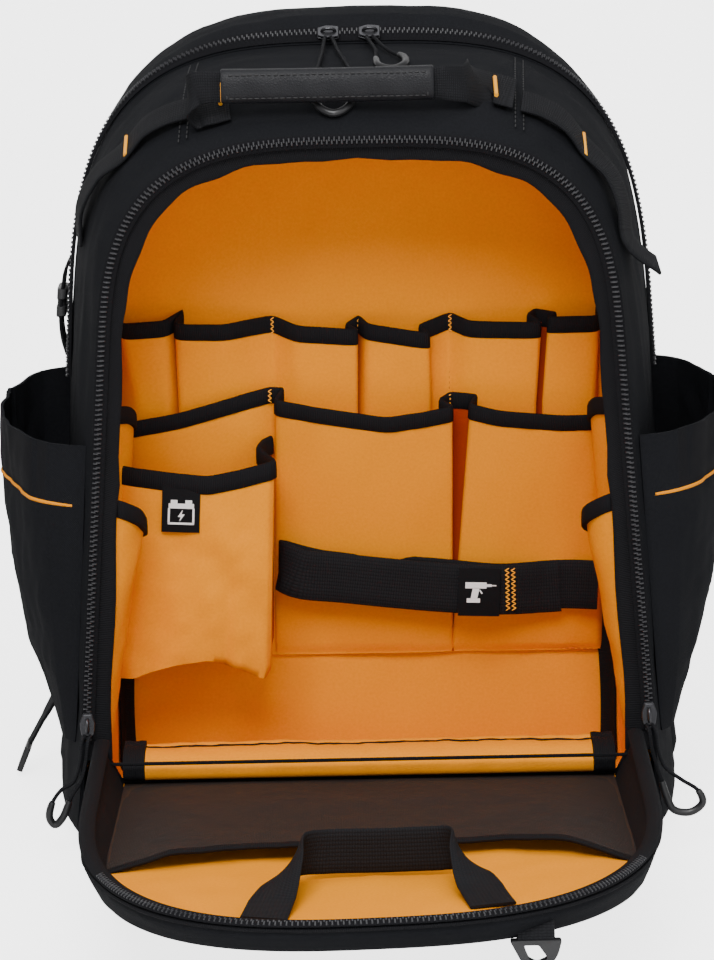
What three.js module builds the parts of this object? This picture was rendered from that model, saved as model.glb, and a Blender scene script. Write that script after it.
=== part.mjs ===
// A tool backpack that stands on its base with its front flap folded down on the floor.
// Millimetres. X is to the right seen from the front, Y goes to the back and Z is up.
// The origin is the middle of the base panel's underside.
import * as THREE from "three";

// Front compartment, from the mouth to the seam where the rear compartment starts
const seamY = 26;
const frontDepth = 138;
const mouthHalf = 175.3;
const seamHalf = 192;
const mouthTop = 427;
const seamTop = 464;
const mouthTaper = 0.07;
const seamTaper = 0.054;
const mouthLean = 8;
const clothWall = 2.5;
// Rear compartment and the padded back panel behind it
const rearDepth = 78;
const rearHalf = 196.5;
const rearTop = 482;
const rearTaper = 0.06;
const backPadding = 14;
// Underside of the bag
const basePanel = 4;
const baseInset = 13;
const lowerCorner = 12;
// Orange lining of the front compartment and the panel behind it
const liningWall = 1.5;
const liningMouthHalf = 161;
const liningMouthTop = mouthTop - 12;
const liningRearHalf = 157;
const liningRearTop = seamTop - 18;
const liningMouthTaper = 0.062;
const liningRearTaper = 0.01;
const dividerThick = 4;
const facingThick = 1.5;
// Zips
const zipWidth = 8;
const zipThick = 2.2;
const zipEndZ = 70;
const rearZipEndZ = 262;
const sliderLength = 13;
const sliderWidth = 9;
const sliderThick = 4;
const pullCord = 2.4;
const pullEndThick = 4.6;
// Padded lip over the hinge
const lipHalf = 133;
const lipBinding = 13;
const lipDepth = 41;
const lipFrontY = -126;
const lipBottomZ = 46.3;
const lipHeight = 15;
// Flap folded forward on the floor
const flapHalf = 161;
const flapHingeY = -112.4;
const flapShoulderY = -250;
const flapTipY = -467;
const flapPower = 2.7;
const flapSkew = 0.07;
const flapRimZ = 70;
const flapWall = 2.2;
const flapTipFloorZ = 58;
const flapUnderSlope = 0.37;
const flapEdgeRound = 14;
const flapFacingWidth = 15;
const flapFacingThick = 1.8;
const flapTipFacing = 8;
const flapLiningHingeZ = 44;
const flapLiningTipZ = 67;
const flapLiningThick = 1.6;
const meshHemY = -303;
const meshStand = 8;
const meshThick = 1;
const flapStrapWidth = 25;
const flapStrapThick = 2;
const hookWidth = 28;
const hookHeight = 16;
const hookThick = 5;
// Pockets on the panel
const sheetThick = 1.5;
const bindingHeight = 11;
const bindingThick = 1;
const seamGap = 0.3;
const batteryHalf = 45.5;
const batteryX = -102.5;
const batteryDepth = 45;
const batteryTopZ = 212;
const batteryBottomZ = 80;
const drillStrapWidth = 32;
const drillStrapThick = 2;
// Side pockets outside
const sidePocketReach = 41;
const sidePocketWall = 1.8;
const sidePocketTopZ = 245;
const sidePocketBottomZ = 64;
const sidePocketFrontY = -97;
const sidePocketBackY = 74;
// Webbing
const webbingWidth = 25;
const webbingThick = 2;
const handleWidth = 38;
const gripTall = 20;
const gripDeep = 13;
const shoulderWidth = 62;
const shoulderThick = 13;

const frontY = seamY - frontDepth;
const backY = seamY + rearDepth;
const shellFloor = basePanel + seamGap;

const colours = {
  black_cloth: [0x24262a, 0.85, 0],
  orange_lining: [0xf59a20, 0.8, 0],
  binding: [0x1b1c1f, 0.9, 0],
  webbing: [0x1e1f22, 0.85, 0],
  zip: [0x2c2d30, 0.5, 0],
  metal: [0x3a3b3e, 0.35, 0.9],
  mesh: [0x2a1c18, 0.9, 0],
  leather: [0x232326, 0.5, 0],
  hard_plastic: [0x1a1b1d, 0.45, 0],
  padding: [0x26282b, 0.9, 0],
  label: [0x141414, 0.7, 0],
  piping: [0xf09a3c, 0.7, 0],
};

const bag = new THREE.Group();

function addMesh(name, slot, geometry) {
  const [color, roughness, metalness] = colours[slot];
  const mesh = new THREE.Mesh(geometry, new THREE.MeshStandardMaterial({ color, roughness, metalness }));
  mesh.name = name;
  bag.add(mesh);
  return mesh;
}

// Six times the signed volume of a triangle list, to turn a mesh's faces outwards
function signedVolume(points, triangles) {
  let sum = 0;
  for (const [a, b, c] of triangles) {
    const [p, q, r] = [points[a], points[b], points[c]];
    sum += p[0] * (q[1] * r[2] - q[2] * r[1]);
    sum += p[1] * (q[2] * r[0] - q[0] * r[2]);
    sum += p[2] * (q[0] * r[1] - q[1] * r[0]);
  }
  return sum;
}

function solidOf(points, triangles) {
  const turned = signedVolume(points, triangles) < 0;
  const index = [];
  for (const [a, b, c] of triangles) {
    index.push(a, turned ? c : b, turned ? b : c);
  }
  const geometry = new THREE.BufferGeometry();
  geometry.setAttribute("position", new THREE.Float32BufferAttribute(points.flat(), 3));
  geometry.setIndex(index);
  geometry.computeVertexNormals();
  return geometry;
}

// Joins rings of equal point counts into a closed skin. A looped skin joins its last ring to its
// first; otherwise each end is closed across, point i to point n - i.
function skin(rings, looped) {
  const count = rings[0].length;
  const points = rings.flat();
  const triangles = [];
  const bands = looped ? rings.length : rings.length - 1;
  for (let band = 0; band < bands; band += 1) {
    const low = band * count;
    const high = ((band + 1) % rings.length) * count;
    for (let i = 0; i < count; i += 1) {
      const j = (i + 1) % count;
      triangles.push([low + i, low + j, high + j], [low + i, high + j, high + i]);
    }
  }
  if (!looped) {
    const last = (rings.length - 1) * count;
    for (let i = 0; i < count / 2 - 1; i += 1) {
      const [a, b, c, d] = [i, i + 1, count - 2 - i, count - 1 - i];
      const cap = b === c ? [[a, b, d]] : [[a, b, c], [a, c, d]];
      for (const [p, q, r] of cap) {
        triangles.push([r, q, p], [last + p, last + q, last + r]);
      }
    }
  }
  return solidOf(points, triangles);
}

// A sheet from two grids of points (rows of equal length) that face each other
function sheetBetween(front, back) {
  const rows = front.length;
  const columns = front[0].length;
  const points = front.flat().concat(back.flat());
  const half = rows * columns;
  const triangles = [];
  for (let r = 0; r < rows - 1; r += 1) {
    for (let c = 0; c < columns - 1; c += 1) {
      const a = r * columns + c;
      const b = a + 1;
      const d = a + columns;
      const e = d + 1;
      triangles.push([a, b, e], [a, e, d], [half + b, half + a, half + e], [half + e, half + a, half + d]);
    }
  }
  const rim = [];
  for (let c = 0; c < columns - 1; c += 1) rim.push(c);
  for (let r = 0; r < rows - 1; r += 1) rim.push(r * columns + columns - 1);
  for (let c = columns - 1; c > 0; c -= 1) rim.push((rows - 1) * columns + c);
  for (let r = rows - 1; r > 0; r -= 1) rim.push(r * columns);
  for (let i = 0; i < rim.length; i += 1) {
    const a = rim[i];
    const b = rim[(i + 1) % rim.length];
    triangles.push([b, a, half + a], [b, half + a, half + b]);
  }
  return solidOf(points, triangles);
}

const vector = (p) => new THREE.Vector3(p[0], p[1], p[2]);
const blend = (a, b, t) => a + (b - a) * t;
const clamp01 = (t) => Math.min(1, Math.max(0, t));

// A flat band along a path: each station holds its middle, its width direction and its width, and
// may have a thickness of its own. The thickness lies to both sides of the path.
function band(stations, thick) {
  const middles = stations.map((s) => vector(s.at));
  const rings = stations.map((station, i) => {
    const before = middles[Math.max(0, i - 1)];
    const after = middles[Math.min(middles.length - 1, i + 1)];
    const along = after.clone().sub(before).normalize();
    const across = vector(station.across);
    across.addScaledVector(along, -across.dot(along)).normalize();
    const out = new THREE.Vector3().crossVectors(along, across).normalize();
    const w = station.width / 2;
    const t = (station.thick || thick) / 2;
    return [[-w, -t], [w, -t], [w, t], [-w, t]].map(([u, v]) =>
      middles[i].clone().addScaledVector(across, u).addScaledVector(out, v).toArray());
  });
  return skin(rings, false);
}

const softCurve = (points) => new THREE.CatmullRomCurve3(points.map(vector), false, "centripetal");

// A round bar along a curve
function bar(curve, thick, sides, steps) {
  const section = new THREE.Shape();
  for (let k = 0; k < sides; k += 1) {
    const turn = (2 * Math.PI * k) / sides;
    const [x, y] = [(Math.cos(turn) * thick) / 2, (Math.sin(turn) * thick) / 2];
    if (k === 0) section.moveTo(x, y);
    else section.lineTo(x, y);
  }
  section.closePath();
  return new THREE.ExtrudeGeometry(section, { steps, extrudePath: curve, bevelEnabled: false });
}

// A tube round the stretch of a curve between two of its steps, open at both ends
function sleeve(curve, steps, from, to, bore, thick, sides) {
  const ringAt = (k, diameter) => {
    const middle = curve.getPointAt(k / steps);
    const along = curve.getTangentAt(k / steps);
    const across = new THREE.Vector3(0, -0.75, 0.66);
    across.addScaledVector(along, -across.dot(along)).normalize();
    const out = new THREE.Vector3().crossVectors(along, across);
    return Array.from({ length: sides }, (unused, i) => {
      const turn = (2 * Math.PI * i) / sides;
      return middle.clone()
        .addScaledVector(across, (Math.cos(turn) * diameter) / 2)
        .addScaledVector(out, (Math.sin(turn) * diameter) / 2).toArray();
    });
  };
  const rings = [];
  for (let k = from; k <= to; k += 1) rings.push(ringAt(k, thick));
  for (let k = to; k >= from; k -= 1) rings.push(ringAt(k, bore));
  return skin(rings, true);
}

// Outline of the bag in one plane of constant Y: straight tapered sides and a soft arch over them.
// An outline is { half, taper, shoulder, top, power } and its points run once round.
function halfAt(outline, z) {
  const side = outline.half - outline.taper * z;
  const t = clamp01((z - outline.shoulder) / (outline.top - outline.shoulder));
  return side * Math.pow(Math.max(0, 1 - Math.pow(t, outline.power)), 1 / outline.power);
}

function roofAt(outline, x) {
  let low = outline.shoulder;
  let high = outline.top;
  for (let i = 0; i < 40; i += 1) {
    const z = (low + high) / 2;
    if (halfAt(outline, z) > Math.abs(x)) low = z;
    else high = z;
  }
  return low;
}

const archSteps = 9;
const sideSteps = 3;

function rightSide(outline, floorZ) {
  const points = [];
  const low = outline.half - outline.taper * floorZ;
  const r = lowerCorner;
  points.push([low * 0.45, floorZ]);
  for (let k = 0; k <= 2; k += 1) {
    const turn = (Math.PI / 4) * k;
    points.push([low - r + r * Math.sin(turn), floorZ + r - r * Math.cos(turn)]);
  }
  for (let k = 1; k <= sideSteps; k += 1) {
    const z = blend(floorZ + r, outline.shoulder, k / sideSteps);
    points.push([halfAt(outline, z), z]);
  }
  for (let k = 1; k < archSteps; k += 1) {
    const turn = ((Math.PI / 2) * k) / archSteps;
    const rise = Math.pow(Math.sin(turn), 2 / outline.power);
    const z = blend(outline.shoulder, outline.top, rise);
    const side = outline.half - outline.taper * z;
    points.push([side * Math.pow(Math.cos(turn), 2 / outline.power), z]);
  }
  return points;
}

function loopOf(outline, floorZ) {
  const right = rightSide(outline, floorZ);
  const left = right.map(([x, z]) => [-x, z]).reverse();
  return [[0, floorZ], ...right, [0, outline.top], ...left];
}

// Moves a closed X-Z loop inwards by a distance, corner by corner
function inset(loop, distance) {
  const count = loop.length;
  return loop.map((p, i) => {
    const a = loop[(i + count - 1) % count];
    const b = loop[(i + 1) % count];
    const u = new THREE.Vector2(p[0] - a[0], p[1] - a[1]).normalize();
    const v = new THREE.Vector2(b[0] - p[0], b[1] - p[1]).normalize();
    const nu = new THREE.Vector2(-u.y, u.x);
    const nv = new THREE.Vector2(-v.y, v.x);
    const mitre = nu.clone().add(nv).normalize();
    const reach = distance / Math.max(0.5, mitre.dot(nu));
    return [p[0] + mitre.x * reach, p[1] + mitre.y * reach];
  });
}

// Front compartment: share of its depth, share of its widening and of its rise, arch power
const mainSections = [
  { depth: 0.0, widen: 0.0, rise: 0.0, power: 3.2 },
  { depth: 0.087, widen: 0.22, rise: 0.24, power: 3.1 },
  { depth: 0.246, widen: 0.52, rise: 0.53, power: 3.1 },
  { depth: 0.486, widen: 0.76, rise: 0.8, power: 3.1 },
  { depth: 0.739, widen: 0.91, rise: 0.96, power: 3.2 },
  { depth: 1.0, widen: 1.0, rise: 1.0, power: 3.35 },
];
// Rear compartment: share of its depth, share of the full width and height gained, arch power
const rearSections = [
  { depth: 0.0, widen: 0.0, rise: 0.0, power: 3.35 },
  { depth: 0.09, widen: 0.5, rise: 0.5, power: 3.2 },
  { depth: 0.24, widen: 0.85, rise: 0.86, power: 3.15 },
  { depth: 0.46, widen: 1.0, rise: 1.0, power: 3.1 },
  { depth: 0.78, widen: 0.95, rise: 0.96, power: 3.1 },
  { depth: 1.0, widen: -0.2, rise: 0.5, power: 3.1 },
];
const mouthShoulder = 0.7;
const seamShoulder = 0.62;
const rearShoulder = 0.56;

function tableAt(table, depth) {
  let k = 1;
  while (k < table.length - 1 && depth > table[k].depth) k += 1;
  const [a, b] = [table[k - 1], table[k]];
  const t = clamp01((depth - a.depth) / (b.depth - a.depth));
  const mixed = {};
  for (const key of Object.keys(a)) mixed[key] = blend(a[key], b[key], t);
  return mixed;
}

function mainOutline(y) {
  const row = tableAt(mainSections, (y - frontY) / frontDepth);
  const top = blend(mouthTop, seamTop, row.rise);
  return {
    half: blend(mouthHalf, seamHalf, row.widen),
    taper: blend(mouthTaper, seamTaper, row.widen),
    shoulder: top * blend(mouthShoulder, seamShoulder, row.widen),
    top,
    power: row.power,
  };
}

function rearOutline(y) {
  const row = tableAt(rearSections, (y - seamY) / rearDepth);
  const top = blend(seamTop, rearTop, row.rise);
  return {
    half: blend(seamHalf, rearHalf, row.widen),
    taper: blend(seamTaper, rearTaper, row.widen),
    shoulder: top * blend(seamShoulder, rearShoulder, clamp01(row.widen)),
    top,
    power: row.power,
  };
}

const bodyHalfAt = (y, z) => halfAt(y < seamY ? mainOutline(y) : rearOutline(y), z);

// The mouth leans back towards its top, and the lean fades towards the seam
function leanAt(y, z) {
  const up = clamp01((z - zipEndZ) / (mouthTop - zipEndZ));
  return mouthLean * up * clamp01((seamY - y) / frontDepth);
}

const placeLoop = (loop, y) => loop.map(([x, z]) => [x, y + leanAt(y, z), z]);

// A thin wall that follows a row of outlines, open at both ends
function shell(sections, wall, floorZ) {
  const outer = sections.map(({ y, outline }) => placeLoop(loopOf(outline, floorZ), y));
  const inner = sections.map(({ y, outline }) => placeLoop(inset(loopOf(outline, floorZ), wall), y));
  return skin([...outer, ...inner.reverse()], true);
}

// Front compartment
const mainRows = mainSections.map((row) => {
  const y = frontY + row.depth * frontDepth;
  return { y, outline: mainOutline(y) };
});
addMesh("main_shell", "black_cloth", shell(mainRows, clothWall, shellFloor));

// Rear compartment, whose front edge meets the front compartment at the seam
const rearRows = rearSections.map((row) => {
  const y = seamY + seamGap + row.depth * (rearDepth - seamGap);
  return { y, outline: rearOutline(y) };
});
addMesh("rear_shell", "black_cloth", shell(rearRows, clothWall, shellFloor));

// Padded back panel, a little smaller than the rear edge it is sewn to
const backOutline = loopOf(rearOutline(backY), shellFloor);
const backRings = [
  [0, 0.6], [0.25, -0.6], [0.7, 0.5], [1, 9],
].map(([share, pull]) =>
  inset(backOutline, pull + 1).map(([x, z]) => [x, backY + seamGap + share * backPadding, z]));
addMesh("back_panel", "padding", skin(backRings, false));

// Base panel under both compartments
const baseShape = new THREE.Shape();
const baseFront = frontY + 6;
const baseBack = backY - 6;
const baseFrontHalf = mouthHalf - baseInset;
const baseBackHalf = rearHalf - baseInset;
const baseCorner = 12;
baseShape.moveTo(-baseFrontHalf + baseCorner, baseFront);
baseShape.lineTo(baseFrontHalf - baseCorner, baseFront);
baseShape.quadraticCurveTo(baseFrontHalf, baseFront, baseFrontHalf, baseFront + baseCorner);
baseShape.lineTo(baseBackHalf, baseBack - baseCorner);
baseShape.quadraticCurveTo(baseBackHalf, baseBack, baseBackHalf - baseCorner, baseBack);
baseShape.lineTo(-baseBackHalf + baseCorner, baseBack);
baseShape.quadraticCurveTo(-baseBackHalf, baseBack, -baseBackHalf, baseBack - baseCorner);
baseShape.lineTo(-baseFrontHalf, baseFront + baseCorner);
baseShape.quadraticCurveTo(-baseFrontHalf, baseFront, -baseFrontHalf + baseCorner, baseFront);
addMesh("base_panel", "black_cloth",
  new THREE.ExtrudeGeometry(baseShape, { depth: basePanel, bevelEnabled: false, curveSegments: 3 }));

// Stiff panel between the compartments, held by the inside of the front compartment's wall
const dividerY = seamY - dividerThick - seamGap;
const dividerRing = (y) =>
  placeLoop(inset(loopOf(mainOutline(dividerY), shellFloor), clothWall + seamGap + 0.7), y);
addMesh("divider", "orange_lining", skin([dividerRing(dividerY), dividerRing(dividerY + dividerThick)], false));

// Orange lining that narrows from the mouth to the divider
const liningFrontY = frontY + 3.6;
const liningBackY = dividerY - seamGap;
function liningOutline(y) {
  const t = clamp01((y - liningFrontY) / (liningBackY - liningFrontY));
  const top = blend(liningMouthTop, liningRearTop, Math.sqrt(t));
  return {
    half: blend(liningMouthHalf, liningRearHalf, t),
    taper: blend(liningMouthTaper, liningRearTaper, t),
    shoulder: top * blend(mouthShoulder, seamShoulder, t),
    top,
    power: 3.2,
  };
}
const liningFloor = shellFloor + clothWall + seamGap;
const liningRows = [0, 0.2, 0.6, 1].map((share) => {
  const y = blend(liningFrontY, liningBackY, share);
  return { y, outline: liningOutline(y) };
});
addMesh("main_lining", "orange_lining", shell(liningRows, liningWall, liningFloor));

// Black facing round the mouth, from the zip's tape in to the lining's edge
const mouthLoop = inset(loopOf(mainOutline(frontY), shellFloor), clothWall + seamGap);
const facingInner = inset(loopOf(liningOutline(liningFrontY), liningFloor), liningWall);
// The facing and the zip run over the arch only, from one zip end to the other
function archPart(loop, endZ) {
  const half = (loop.length - 2) / 2;
  const right = loop.slice(1, half + 1).filter((p) => p[1] > endZ + 4);
  const start = loop[1 + loop.slice(1, half + 1).findIndex((p) => p[1] > endZ + 4) - 1];
  const t = (endZ - start[1]) / (right[0][1] - start[1]);
  const foot = [blend(start[0], right[0][0], t), endZ];
  const top = loop[half + 1];
  const list = [foot, ...right, top];
  return list.concat([...list].reverse().slice(1).map(([x, z]) => [-x, z]));
}
function flatArch(outerLoop, innerLoop, endZ, yLow, thick) {
  const outer = archPart(outerLoop, endZ);
  const inner = archPart(innerLoop, endZ);
  const rings = outer.map((p, i) => {
    const q = inner[i];
    const y = (point) => yLow + leanAt(frontY, point[1]);
    return [[p[0], y(p), p[1]], [q[0], y(q), q[1]], [q[0], y(q) + thick, q[1]], [p[0], y(p) + thick, p[1]]];
  });
  return skin(rings, false);
}
const facingEndZ = lipBottomZ + 8;
addMesh("mouth_facing", "binding", flatArch(mouthLoop, facingInner, facingEndZ, frontY + 1.4, facingThick));

// Zip along the mouth, on the front edge of the wall
const zipOuter = inset(loopOf(mainOutline(frontY), shellFloor), -0.8);
const zipInner = inset(loopOf(mainOutline(frontY), shellFloor), zipWidth - 0.8);
const mouthZipY = frontY - zipThick - seamGap;
addMesh("mouth_zip", "zip", flatArch(zipOuter, zipInner, zipEndZ + seamGap, mouthZipY, zipThick));

// Zip of the rear compartment, on the slope that rises behind the seam
const rearZipFrontY = seamY + 0.8;
const rearZipBackY = seamY + 6.4;
const rearZipRise = zipThick * 1.25;
function rearZipRings() {
  const arch = (y, lift) => archPart(inset(loopOf(rearOutline(y), shellFloor), -lift), rearZipEndZ)
    .map(([x, z]) => [x, y, z]);
  const lists = [
    arch(rearZipFrontY, seamGap * 2), arch(rearZipBackY, seamGap * 2),
    arch(rearZipBackY, seamGap * 2 + rearZipRise), arch(rearZipFrontY, seamGap * 2 + rearZipRise),
  ];
  return lists[0].map((_, i) => lists.map((list) => list[i]));
}
addMesh("rear_zip", "zip", skin(rearZipRings(), false));

// Padded orange lip over the top of the wall at the hinge, with a black binding at each end.
// Its section holds depth and height as shares.
const lipSection = [
  [0.02, 0.3], [0.1, 0.72], [0.28, 0.95], [0.5, 1.0], [0.86, 0.96], [0.98, 0.78],
  [1.0, 0.4], [0.9, 0.02], [0.5, 0.0], [0.12, 0.0],
];
function lipRing(x, grow) {
  return lipSection.map(([depth, height]) => [
    x,
    lipFrontY + depth * lipDepth + (depth - 0.5) * grow * 2,
    lipBottomZ + height * (lipHeight + grow),
  ]);
}
const lipShares = [-1, -0.94, -0.5, 0, 0.5, 0.94, 1];
const lipRings = lipShares.map((s) => lipRing(s * lipHalf, Math.abs(s) > 0.97 ? -0.6 : 0));
addMesh("lip", "orange_lining", skin(lipRings, false));
for (const [name, side] of [["lip_binding_left", -1], ["lip_binding_right", 1]]) {
  const from = side * (lipHalf + seamGap);
  const to = side * (lipHalf + lipBinding);
  addMesh(name, "binding", skin([lipRing(from, 0.8), lipRing(to, 0.4)], false));
}

// Flap: the rim's outline seen from above, from the hinge to the tip, then its tray
const flapArc = 12;
function flapHalfAt(y, inward) {
  const t = clamp01((flapShoulderY - y) / (flapShoulderY - (flapTipY + inward)));
  return (flapHalf - inward) * Math.pow(Math.max(0, 1 - Math.pow(t, flapPower)), 1 / flapPower);
}
function flapLoop(inward, hingeInward) {
  const half = flapHalf - inward;
  const tip = flapTipY + inward;
  const hinge = flapHingeY - hingeInward;
  const notch = lipHalf + lipBinding + 1.2 - Math.max(0, inward - 7);
  const right = [[half * 0.5, hinge], [notch, hinge], [half, hinge - 3]];
  for (const share of [0.3, 0.65, 1]) right.push([half, blend(flapHingeY, flapShoulderY, share)]);
  for (let k = 1; k < flapArc; k += 1) {
    const turn = ((Math.PI / 2) * k) / flapArc;
    right.push([
      half * Math.pow(Math.cos(turn), 2 / flapPower),
      blend(flapShoulderY, tip, Math.pow(Math.sin(turn), 2 / flapPower)),
    ]);
  }
  const left = right.map(([x, y]) => [-x, y]).reverse();
  return [[0, hinge], ...right, [0, tip], ...left];
}
// The underside rises from the floor to the raised tip, everywhere as steeply behind the rim's front
function flapFrontAt(x) {
  const t = Math.min(1, Math.abs(x) / flapHalf);
  return blend(flapShoulderY, flapTipY, Math.pow(1 - Math.pow(t, flapPower), 1 / flapPower));
}
function flapFloorAt(x, y) {
  const height = flapTipFloorZ - (y - flapFrontAt(x)) * flapUnderSlope;
  return Math.min(flapTipFloorZ, Math.max(0, height));
}
// The flap lies a little askew: its front edge is further forward at the left
const flapShift = (x, y) =>
  flapSkew * x * clamp01((flapShoulderY - y) / (flapShoulderY - flapTipY));
const askew = (points) => points.map(([x, y, z]) => [x, y + flapShift(x, y), z]);
const lowRimZ = lipBottomZ - 0.9;
function flapRimAt(x, y) {
  const underLip = Math.abs(x) < lipHalf + lipBinding + 3 && y > flapHingeY - 8;
  return underLip ? lowRimZ : flapRimZ;
}
const trayRing = (inward, height) => flapLoop(inward, inward * 0.08).map(([x, y]) => {
  const floor = flapFloorAt(x, y);
  return [x, y, height(floor, flapRimAt(x, y))];
});
const trayRings = [
  trayRing(flapEdgeRound, (floor) => floor),
  trayRing(flapEdgeRound * 0.35, (floor, rim) => floor + Math.min(4, (rim - floor) * 0.25)),
  trayRing(0, (floor, rim) => floor + Math.min(14, (rim - floor) * 0.6)),
  trayRing(0, (floor, rim) => rim),
  trayRing(flapWall, (floor, rim) => rim),
  trayRing(flapWall, (floor, rim) => floor + Math.min(15, (rim - floor) * 0.68)),
  trayRing(flapEdgeRound * 0.35 + flapWall, (floor, rim) => floor + flapWall + Math.min(4, (rim - floor) * 0.25)),
  trayRing(flapEdgeRound + flapWall, (floor) => floor + flapWall),
];
addMesh("flap_tray", "black_cloth", skin(trayRings.map(askew), false));

// Orange lining of the flap, a shallow bowl between the facing strips
function flapLiningAt(x, y) {
  const along = clamp01((flapHingeY - y) / (flapHingeY - flapTipY));
  const across = Math.abs(x) / flapHalf;
  return blend(flapLiningHingeZ, flapLiningTipZ, along) - 2.5 + 3.5 * across * across * along;
}
const flapLiningFrontY = flapHingeY - flapWall - 2.5;
function liningEdge(share) {
  const y = blend(flapLiningFrontY, flapTipY + flapTipFacing + 1, share);
  const width = flapHalfAt(y, flapTipFacing) - (flapFacingWidth - flapTipFacing) * (1 - Math.pow(share, 6));
  return { y, half: Math.max(6, width) };
}
const liningShares = [0, 0.15, 0.35, 0.55, 0.7, 0.8, 0.88, 0.94, 0.98, 1];
const liningGrid = liningShares.map((share) => {
  const { y, half } = liningEdge(share);
  return [-1, -0.8, -0.4, 0, 0.4, 0.8, 1].map((s) => [s * half, y, flapLiningAt(s * half, y)]);
});
const shiftZ = (grid, dz) => grid.map((row) => row.map(([x, y, z]) => [x, y, z + dz]));
const flapSheet = liningGrid.map(askew);
addMesh("flap_lining", "orange_lining", sheetBetween(flapSheet, shiftZ(flapSheet, -flapLiningThick)));

// Black facing that climbs from the lining's edge to the rim
function flapFacing() {
  const outer = [];
  const inner = [];
  const rimLoop = flapLoop(flapWall + seamGap, flapWall + seamGap);
  const half = (rimLoop.length - 2) / 2;
  const first = [rimLoop[3][0], lipFrontY - 2];
  const list = [first, ...rimLoop.slice(4, half + 1), rimLoop[half + 1]];
  const full = list.concat([...list].reverse().slice(1).map(([x, y]) => [-x, y]));
  for (const [x, y] of full) {
    const tipward = clamp01((flapShoulderY - y) / (flapShoulderY - flapTipY));
    const width = blend(flapFacingWidth, flapTipFacing, Math.pow(tipward, 1.5)) + seamGap - flapWall;
    const centre = Math.max(y, flapShoulderY);
    const away = new THREE.Vector2(x, y < flapShoulderY ? y - centre : 0).normalize();
    const ix = x - away.x * width;
    const iy = y - away.y * width;
    outer.push([x, y, flapRimZ - 1.2]);
    inner.push([ix, iy, flapLiningAt(ix, iy) + seamGap + 0.4]);
  }
  // The thickness is measured square to the slope
  return skin(outer.map((p, i) => {
    const q = inner[i];
    const down = p[2] - q[2];
    const run = Math.hypot(p[0] - q[0], p[1] - q[1]);
    const slope = Math.hypot(down, run);
    const lift = (flapFacingThick * run) / slope;
    const shift = (flapFacingThick * down) / slope / run;
    const raised = (point) => [
      point[0] + (q[0] - p[0]) * shift, point[1] + (q[1] - p[1]) * shift, point[2] + lift,
    ];
    return askew([p, q, raised(q), raised(p)]);
  }), false);
}
addMesh("flap_facing", "binding", flapFacing());

// Zip along the flap's rim
function flapZip() {
  const outer = flapLoop(-0.6, 0);
  const inner = flapLoop(zipWidth - 0.6, 0);
  const half = (outer.length - 2) / 2;
  const part = (loop) => {
    const list = loop.slice(3, half + 1).concat([loop[half + 1]]);
    return list.concat([...list].reverse().slice(1).map(([x, y]) => [-x, y]));
  };
  const [a, b] = [part(outer), part(inner)];
  const z0 = flapRimZ + seamGap + 0.2;
  return skin(a.map((p, i) => {
    const q = b[i];
    const high = z0 + zipThick;
    return askew([[p[0], p[1], z0], [q[0], q[1], z0], [q[0], q[1], high], [p[0], p[1], high]]);
  }), false);
}
addMesh("flap_zip", "zip", flapZip());

// Mesh pocket on the flap, open towards the tip
// A column is [share of the half width, how far the hem lies behind its place there].
const meshShares = [0, 0.12, 0.35, 0.7, 1];
const meshColumns = [
  [-1, -30], [-0.96, -27], [-0.75, -17], [-0.5, -6], [-0.28, 0], [0, -8], [0.28, 0], [0.5, 4], [0.75, -8],
  [0.96, -32], [1, -37],
];
const meshGrid = meshShares.map((share) => meshColumns.map(([s, back]) => {
  const hem = meshHemY + back;
  const y = blend(flapLiningFrontY - 0.5, hem, share);
  const half = flapHalf - flapFacingWidth - flapFacingThick - 2.8;
  const x = s * half;
  const stand = meshStand * Math.min(1, (1 - Math.abs(s)) * 4) * Math.min(1, share * 2.2);
  return [x, y, flapLiningAt(x, y) + seamGap + 0.2 + stand];
}));
const meshSheet = meshGrid.map(askew);
addMesh("mesh_pocket", "mesh", sheetBetween(shiftZ(meshSheet, meshThick), meshSheet));

// Webbing loop on the flap: two legs lie at the tip, the middle part stands on edge
// A station is [x, share of the way from hinge to tip, lift, across x, y, z].
const strapZ = (x, y) => flapLiningAt(x, y) + flapStrapThick / 2 + seamGap + 0.9;
const flapStrap = [
  [-57, 0.904, 0, 1, 0.05, 0], [-53, 0.845, 4, 1, 0.1, 0.1], [-46, 0.76, 12, 0.8, 0.1, 0.6],
  [-37, 0.69, 15, 0.2, 0, 1], [-24, 0.667, 14, 0, 0, 1], [5, 0.662, 13.4, 0, 0, 1], [33, 0.667, 14, 0, 0, 1],
  [44, 0.681, 15, -0.2, 0, 1], [51, 0.732, 12, -0.8, 0.1, 0.6], [57, 0.797, 4, -1, 0.1, 0.1],
  [63, 0.876, 0, -1, 0.05, 0],
].map(([x, share, lift, wx, wy, wz]) => {
  const y = blend(flapHingeY, flapTipY, share);
  return { at: [x, y + flapShift(x, y), strapZ(x, y) + lift], across: [wx, wy, wz], width: flapStrapWidth };
});
addMesh("flap_strap", "webbing", band(flapStrap, flapStrapThick));

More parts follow.
